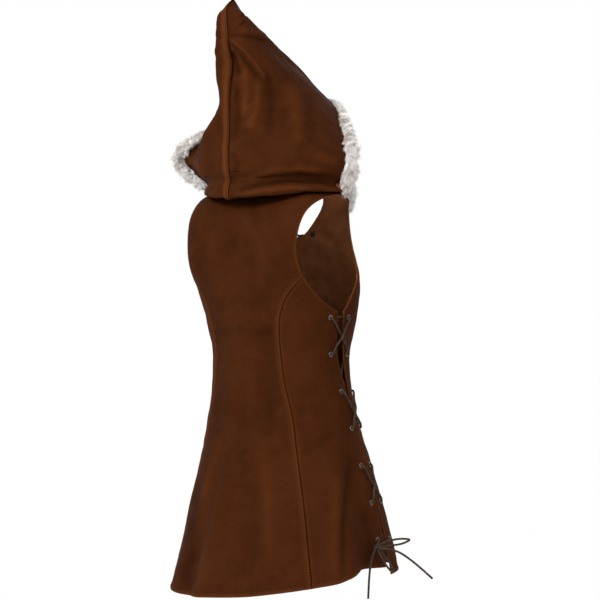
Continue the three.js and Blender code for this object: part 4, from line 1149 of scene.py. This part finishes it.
def hood_half(side):
    left = 1 if side < 0 else 0
    name = "hood_left" if left else "hood_right"
    across = spread(96, [(0.0, 0.07, 31), (1.0, 0.05, 15)])
    row = np.concatenate([np.linspace(*run) for run in ((0, 12, 170), (8.8, 11.2, 60), (11.2, 12, 40))])
    row = np.unique(np.round(row, 4))
    grid_a, grid_r = np.meshgrid(across, row)
    outer = hood_point(grid_a, grid_r, left)
    normals = hood_normal(grid_a, grid_r, left)
    look = hood_point(grid_a, grid_r, 0)
    look[..., 0] *= -1
    from_seam, from_edge = walked(outer, 1)
    from_neck, from_top = walked(outer, 0)
    away = np.clip(np.minimum.reduce([from_seam, from_edge, from_top, from_neck]) / 8, 0, 1)
    crease = np.clip(np.minimum(from_seam, from_neck) / 3, 0, 1) * creased(look, HOOD_CREASES) * (0.4 if left else 1.5)
    if left:
        crease = crease + away * creased(outer, LEFT_HOOD_CREASES)
    height = away * undulation(outer, 1.5) + crease
    height += edge_relief(from_edge, FACE_STITCH) + edge_relief(from_top)
    high = np.clip((grid_r - 0.8) / 0.8, 0, 1)
    roll, wide = (SEAM_ROLL(name, grid_r.ravel()).reshape(grid_r.shape) for name in ("height", "width"))
    depth, dent_row, rows_wide, wide_each_side = DENT
    height -= depth * bump(grid_r, dent_row, rows_wide) * bump(from_seam, 0, wide_each_side)
    # painted highlight on the face and top edges and on crease ridges, painted shade in crease folds
    light = 0.45 * bump(from_edge, 0.2, 1.1) + 0.3 * bump(from_top, 0.2, 1.5) + RIDGE_HIGHLIGHT * np.maximum(crease, 0)
    dark = FOLD_SHADE * np.maximum(-crease, 0)
    if left:  # the seam's allowance lies under the left half and lifts it to a soft roll, which gets a painted highlight
        height += roll * (bump(from_seam, 0.75 * wide, wide) - 0.35 * bump(from_seam, 0, 0.9))
        height -= 0.3 * roll * bump(from_seam, 2.6 * wide, wide)
        light = light + high * 0.34 * bump(from_seam, 6, 9)
    else:
        # the right half sinks beside the seam, with a painted shadow along it
        height += -high * (2.6 * bump(from_seam, 1.6, 2.6) + 0.4 * bump(from_seam, 0, 0.9))
        dark = dark + high * 0.95 * bump(from_seam, 0.8, 2.4)
    tones = np.stack([np.clip(light, 0, 1), np.clip(dark, 0, 1)], -1)

    def place(points):
        return np.stack([-side * np.maximum(points[..., 0], SEAM_GAP / 2), points[..., 1], points[..., 2]], -1)

    obj, face = shell(name + "_leather", outer, normals, height, tones, left == 1, 4 * bump(from_seam, 0, 6), place)
    dress(obj, leather, "leather", name)
    sewn = Stitches()
    ways = np.stack([-side * normals[..., 0], normals[..., 1], normals[..., 2]], -1)
    points, out = line_at(face, ways, from_edge, FACE_STITCH)
    keep = row > 1.5
    sewn.row(points[keep], out[keep])
    stitches = sewn.made(name + "_stitching")


for side in (1, -1):
    hood_half(side)

# ---- fur ----
FUR_LIE = Table("row ahead out away down reach thick", [
    (1.2, 0.2, 0, 1, 1.3, 14, 8), (2, 0.5, 0, 0.9, 0.3, 15, 11), (3, 0.6, 0.1, 0.5, 0, 15, 12),
    (4.5, 0.66, 0.6, 0.1, 0, 15, 12), (6, 0.66, 0.75, 0, 0, 16, 12), (7, 0.7, 0.7, 0, 0, 15, 12),
    (8, 0.85, 0.5, 0, 0, 12, 11), (9.5, 1, 0.2, 0, 0.1, 10, 9), (10.5, 1, 0, 0, 0.2, 9, 7), (12, 1, 0, 0, 0.2, 8, 6)])


def fur_rings():
    """The fur's sections from the right corner to the left: middles, ways out, across and along, reach, thickness."""
    right = np.linspace(1.05, TOP_ROW, 120)
    stations = []
    for rows, side, lie in ((right, 1, 0), (right[-2::-1], -1, 1)):
        edge = hood_point(1.0, rows, lie)
        ahead = unit(edge - hood_point(0.94, rows, lie))
        weight = {name: FUR_LIE(name, rows)[:, None] for name in FUR_LIE.names[1:]}
        flat = unit(edge * np.array([1, 1, 0]))
        out = ahead * weight["ahead"] + hood_normal(1.0, rows, lie) * weight["out"] + flat * weight["away"]
        out = unit(out - np.array([0, 0, 1]) * weight["down"])
        flipped = np.array([-side, 1, 1])
        stations.append((edge * flipped, out * flipped, weight["reach"], weight["thick"]))
    edge, out, reach, thick = (np.concatenate([a, b]) for a, b in zip(*stations))
    for _ in range(6):  # the turn over the top is rounded
        out[1:-1] = unit(out[:-2] + 2 * out[1:-1] + out[2:])
    middle = edge + out * (reach + 1)
    along = unit(np.gradient(middle, axis=0))
    out = unit(out - along * np.sum(out * along, 1, keepdims=True))
    return middle, out, np.cross(along, out), along, reach, thick


FUR_ROOT = 0.55  # of the way out where the hairs stand on the skin
BACKWARD = np.array([-0.35, 0.93, 0.05])  # along the hood's right side, away from the face
FUR_BACK = 4.5  # how far the strip is sewn back behind the leather's edge
HAIRS = 56000, 12, 0.2  # on each half: how many, how long and how wide


def fur_trim():
    middle, out, cross, along, reach, thick = fur_rings()
    middle = middle - out * FUR_BACK
    gone = passed_along(middle)
    length = gone[-1]
    end = np.clip(np.minimum(gone, length - gone) / 14, 0.3, 1)[:, None]
    sides = 20
    a = turns(sides)[None, :, None]
    ring = (middle[:, None] + out[:, None] * (reach * end * FUR_ROOT)[:, None] * np.cos(a)
            + cross[:, None] * (thick * end * FUR_ROOT * 0.8)[:, None] * np.sin(a))
    rng = np.random.default_rng(7)
    ring += rng.normal(0, 0.3, ring.shape)
    # the skin is painted with shade, as it lies in the hairs' shadow
    tone = np.tile([0, 0.9], (len(middle) * sides, 1))
    skin = mesh_object("fur_skin", ring.reshape(-1, 3), ring_faces(len(middle), sides), tones=tone)
    dress(skin, fur, "fur", "fur_trim")

    def hairs(name, start, stop, seed):
        """Hairs gathered in tufts: each tuft has a root, a way and a length, and its hairs close in at the tips."""
        amount, long_, wide = HAIRS
        rng = np.random.default_rng(seed)
        tufts = amount // 56
        which = rng.integers(0, tufts, amount)
        s_tuft, a_tuft = rng.uniform(start, stop, tufts) * length, rng.uniform(0, TAU, tufts)
        tail = tufts // 8  # the corners are thick with fur
        s_tuft[:tail] = abs((0 if start == 0 else length) - rng.uniform(0, 16, tail))
        s = np.clip(s_tuft[which] + rng.normal(0, 2.8, amount), 0, length)
        a = a_tuft[which] + rng.normal(0, 0.3, amount)
        lines = (middle, out, cross, along, end, reach, thick)
        m, o, c, l, e, r, th = (columns_at(s, gone, values) for values in lines)
        o, c, l, r, th = unit(o), unit(c), unit(l), r * e, th * e
        radial = unit(o * np.cos(a)[:, None] / r + c * np.sin(a)[:, None] / th)
        root = m + o * r * FUR_ROOT * np.cos(a)[:, None] + c * th * FUR_ROOT * 0.8 * np.sin(a)[:, None]
        flow = -np.sign(l[:, 2:3] + 1e-6) * l
        swirl = rng.normal(0, 0.28, (tufts, 3))[which]
        outward = unit(m * np.array([1, 1, 0]))
        # A lock on the right lies back over the leather.
        over = np.clip(np.sum(radial * outward, 1) * 3, 0, 1) * (m[:, 0] < 0) * 2.2 * bump(m[:, 2], 33, 8)
        hang = 0.9 * np.clip(1 - np.minimum(s, length - s) / 22, 0, 1)  # the tails hang from the corners
        splay = rng.normal(0, 0.8, tufts)[which] * hang
        lean = np.array([0, 0, -1]) * hang[:, None] + BACKWARD * over[:, None] + splay[:, None] * np.array(SIDE)
        way = unit(radial * 0.8 + o * 0.55 + flow * 0.35 + swirl + lean + rng.normal(0, 0.13, root.shape))
        sag = swirl * 0.9 + np.array([0, 0, -0.2]) + lean
        bend = unit(way * 0.8 + flow * 0.45 + sag + rng.normal(0, 0.18, root.shape))
        strength = rng.uniform(0.6, 1.4, tufts)[which] * rng.uniform(0.75, 1.1, amount)
        size = long_ * strength * (1 + 1.1 * hang + 0.55 * over)
        size = size * np.clip(e[:, 0], 0.7, 1) * np.clip(r[:, 0] / 13, 0.6, 1.1)
        thin = unit(np.cross(way, rng.normal(0, 1, root.shape))) * wide * rng.uniform(0.7, 1.3, amount)[:, None]
        mid = root + way * size[:, None] * 0.5
        tip = mid + bend * size[:, None] * 0.5
        sums = np.zeros((tufts, 3))
        np.add.at(sums, which, tip)
        heads = sums / np.maximum(np.bincount(which, minlength=tufts), 1)[:, None]
        tip = tip + (heads[which] - tip) * 0.62
        mid = mid + (heads[which] - tip) * 0.1
        points = np.stack([root - thin, root + thin, mid - thin * 0.8, mid + thin * 0.8, tip], 1).reshape(-1, 3)
        base = np.arange(amount) * 5
        quads = np.stack([base, base + 1, base + 3, base + 2], 1).tolist()
        tips = np.stack([base + 2, base + 3, base + 4], 1).tolist()
        # painted shade: heavy at the roots, light up the hair, with more on some tufts than others
        shade = rng.uniform(0, 0.3, tufts)[which]
        tone = np.zeros((amount, 5, 2))
        tone[:, :2, 1] = 0.8
        tone[:, 2:4, 1] = 0.1 + shade[:, None]
        tone[:, 4, 1] = shade * 0.5
        dress(mesh_object(name, points, quads + tips, tones=tone.reshape(-1, 2)), fur, "fur")

    hairs("fur_hair_right", 0.0, 0.5, 11)
    hairs("fur_hair_left", 0.5, 1.0, 12)


fur_trim()

# ---- floor ----
FLOOR = -1450
corners = [(x * 4000, y * 4000, FLOOR) for x, y in ((-1, -1), (1, -1), (1, 1), (-1, 1))]
floor = mesh_object("floor", corners, [(0, 1, 2, 3)], smooth=False)
paper = Nodes("pale floor")
floor.data.materials.append(paper.finish(paper.mix(paper.noise(3), (0.8, 0.8, 0.8), (0.84, 0.84, 0.84)), 0.9))
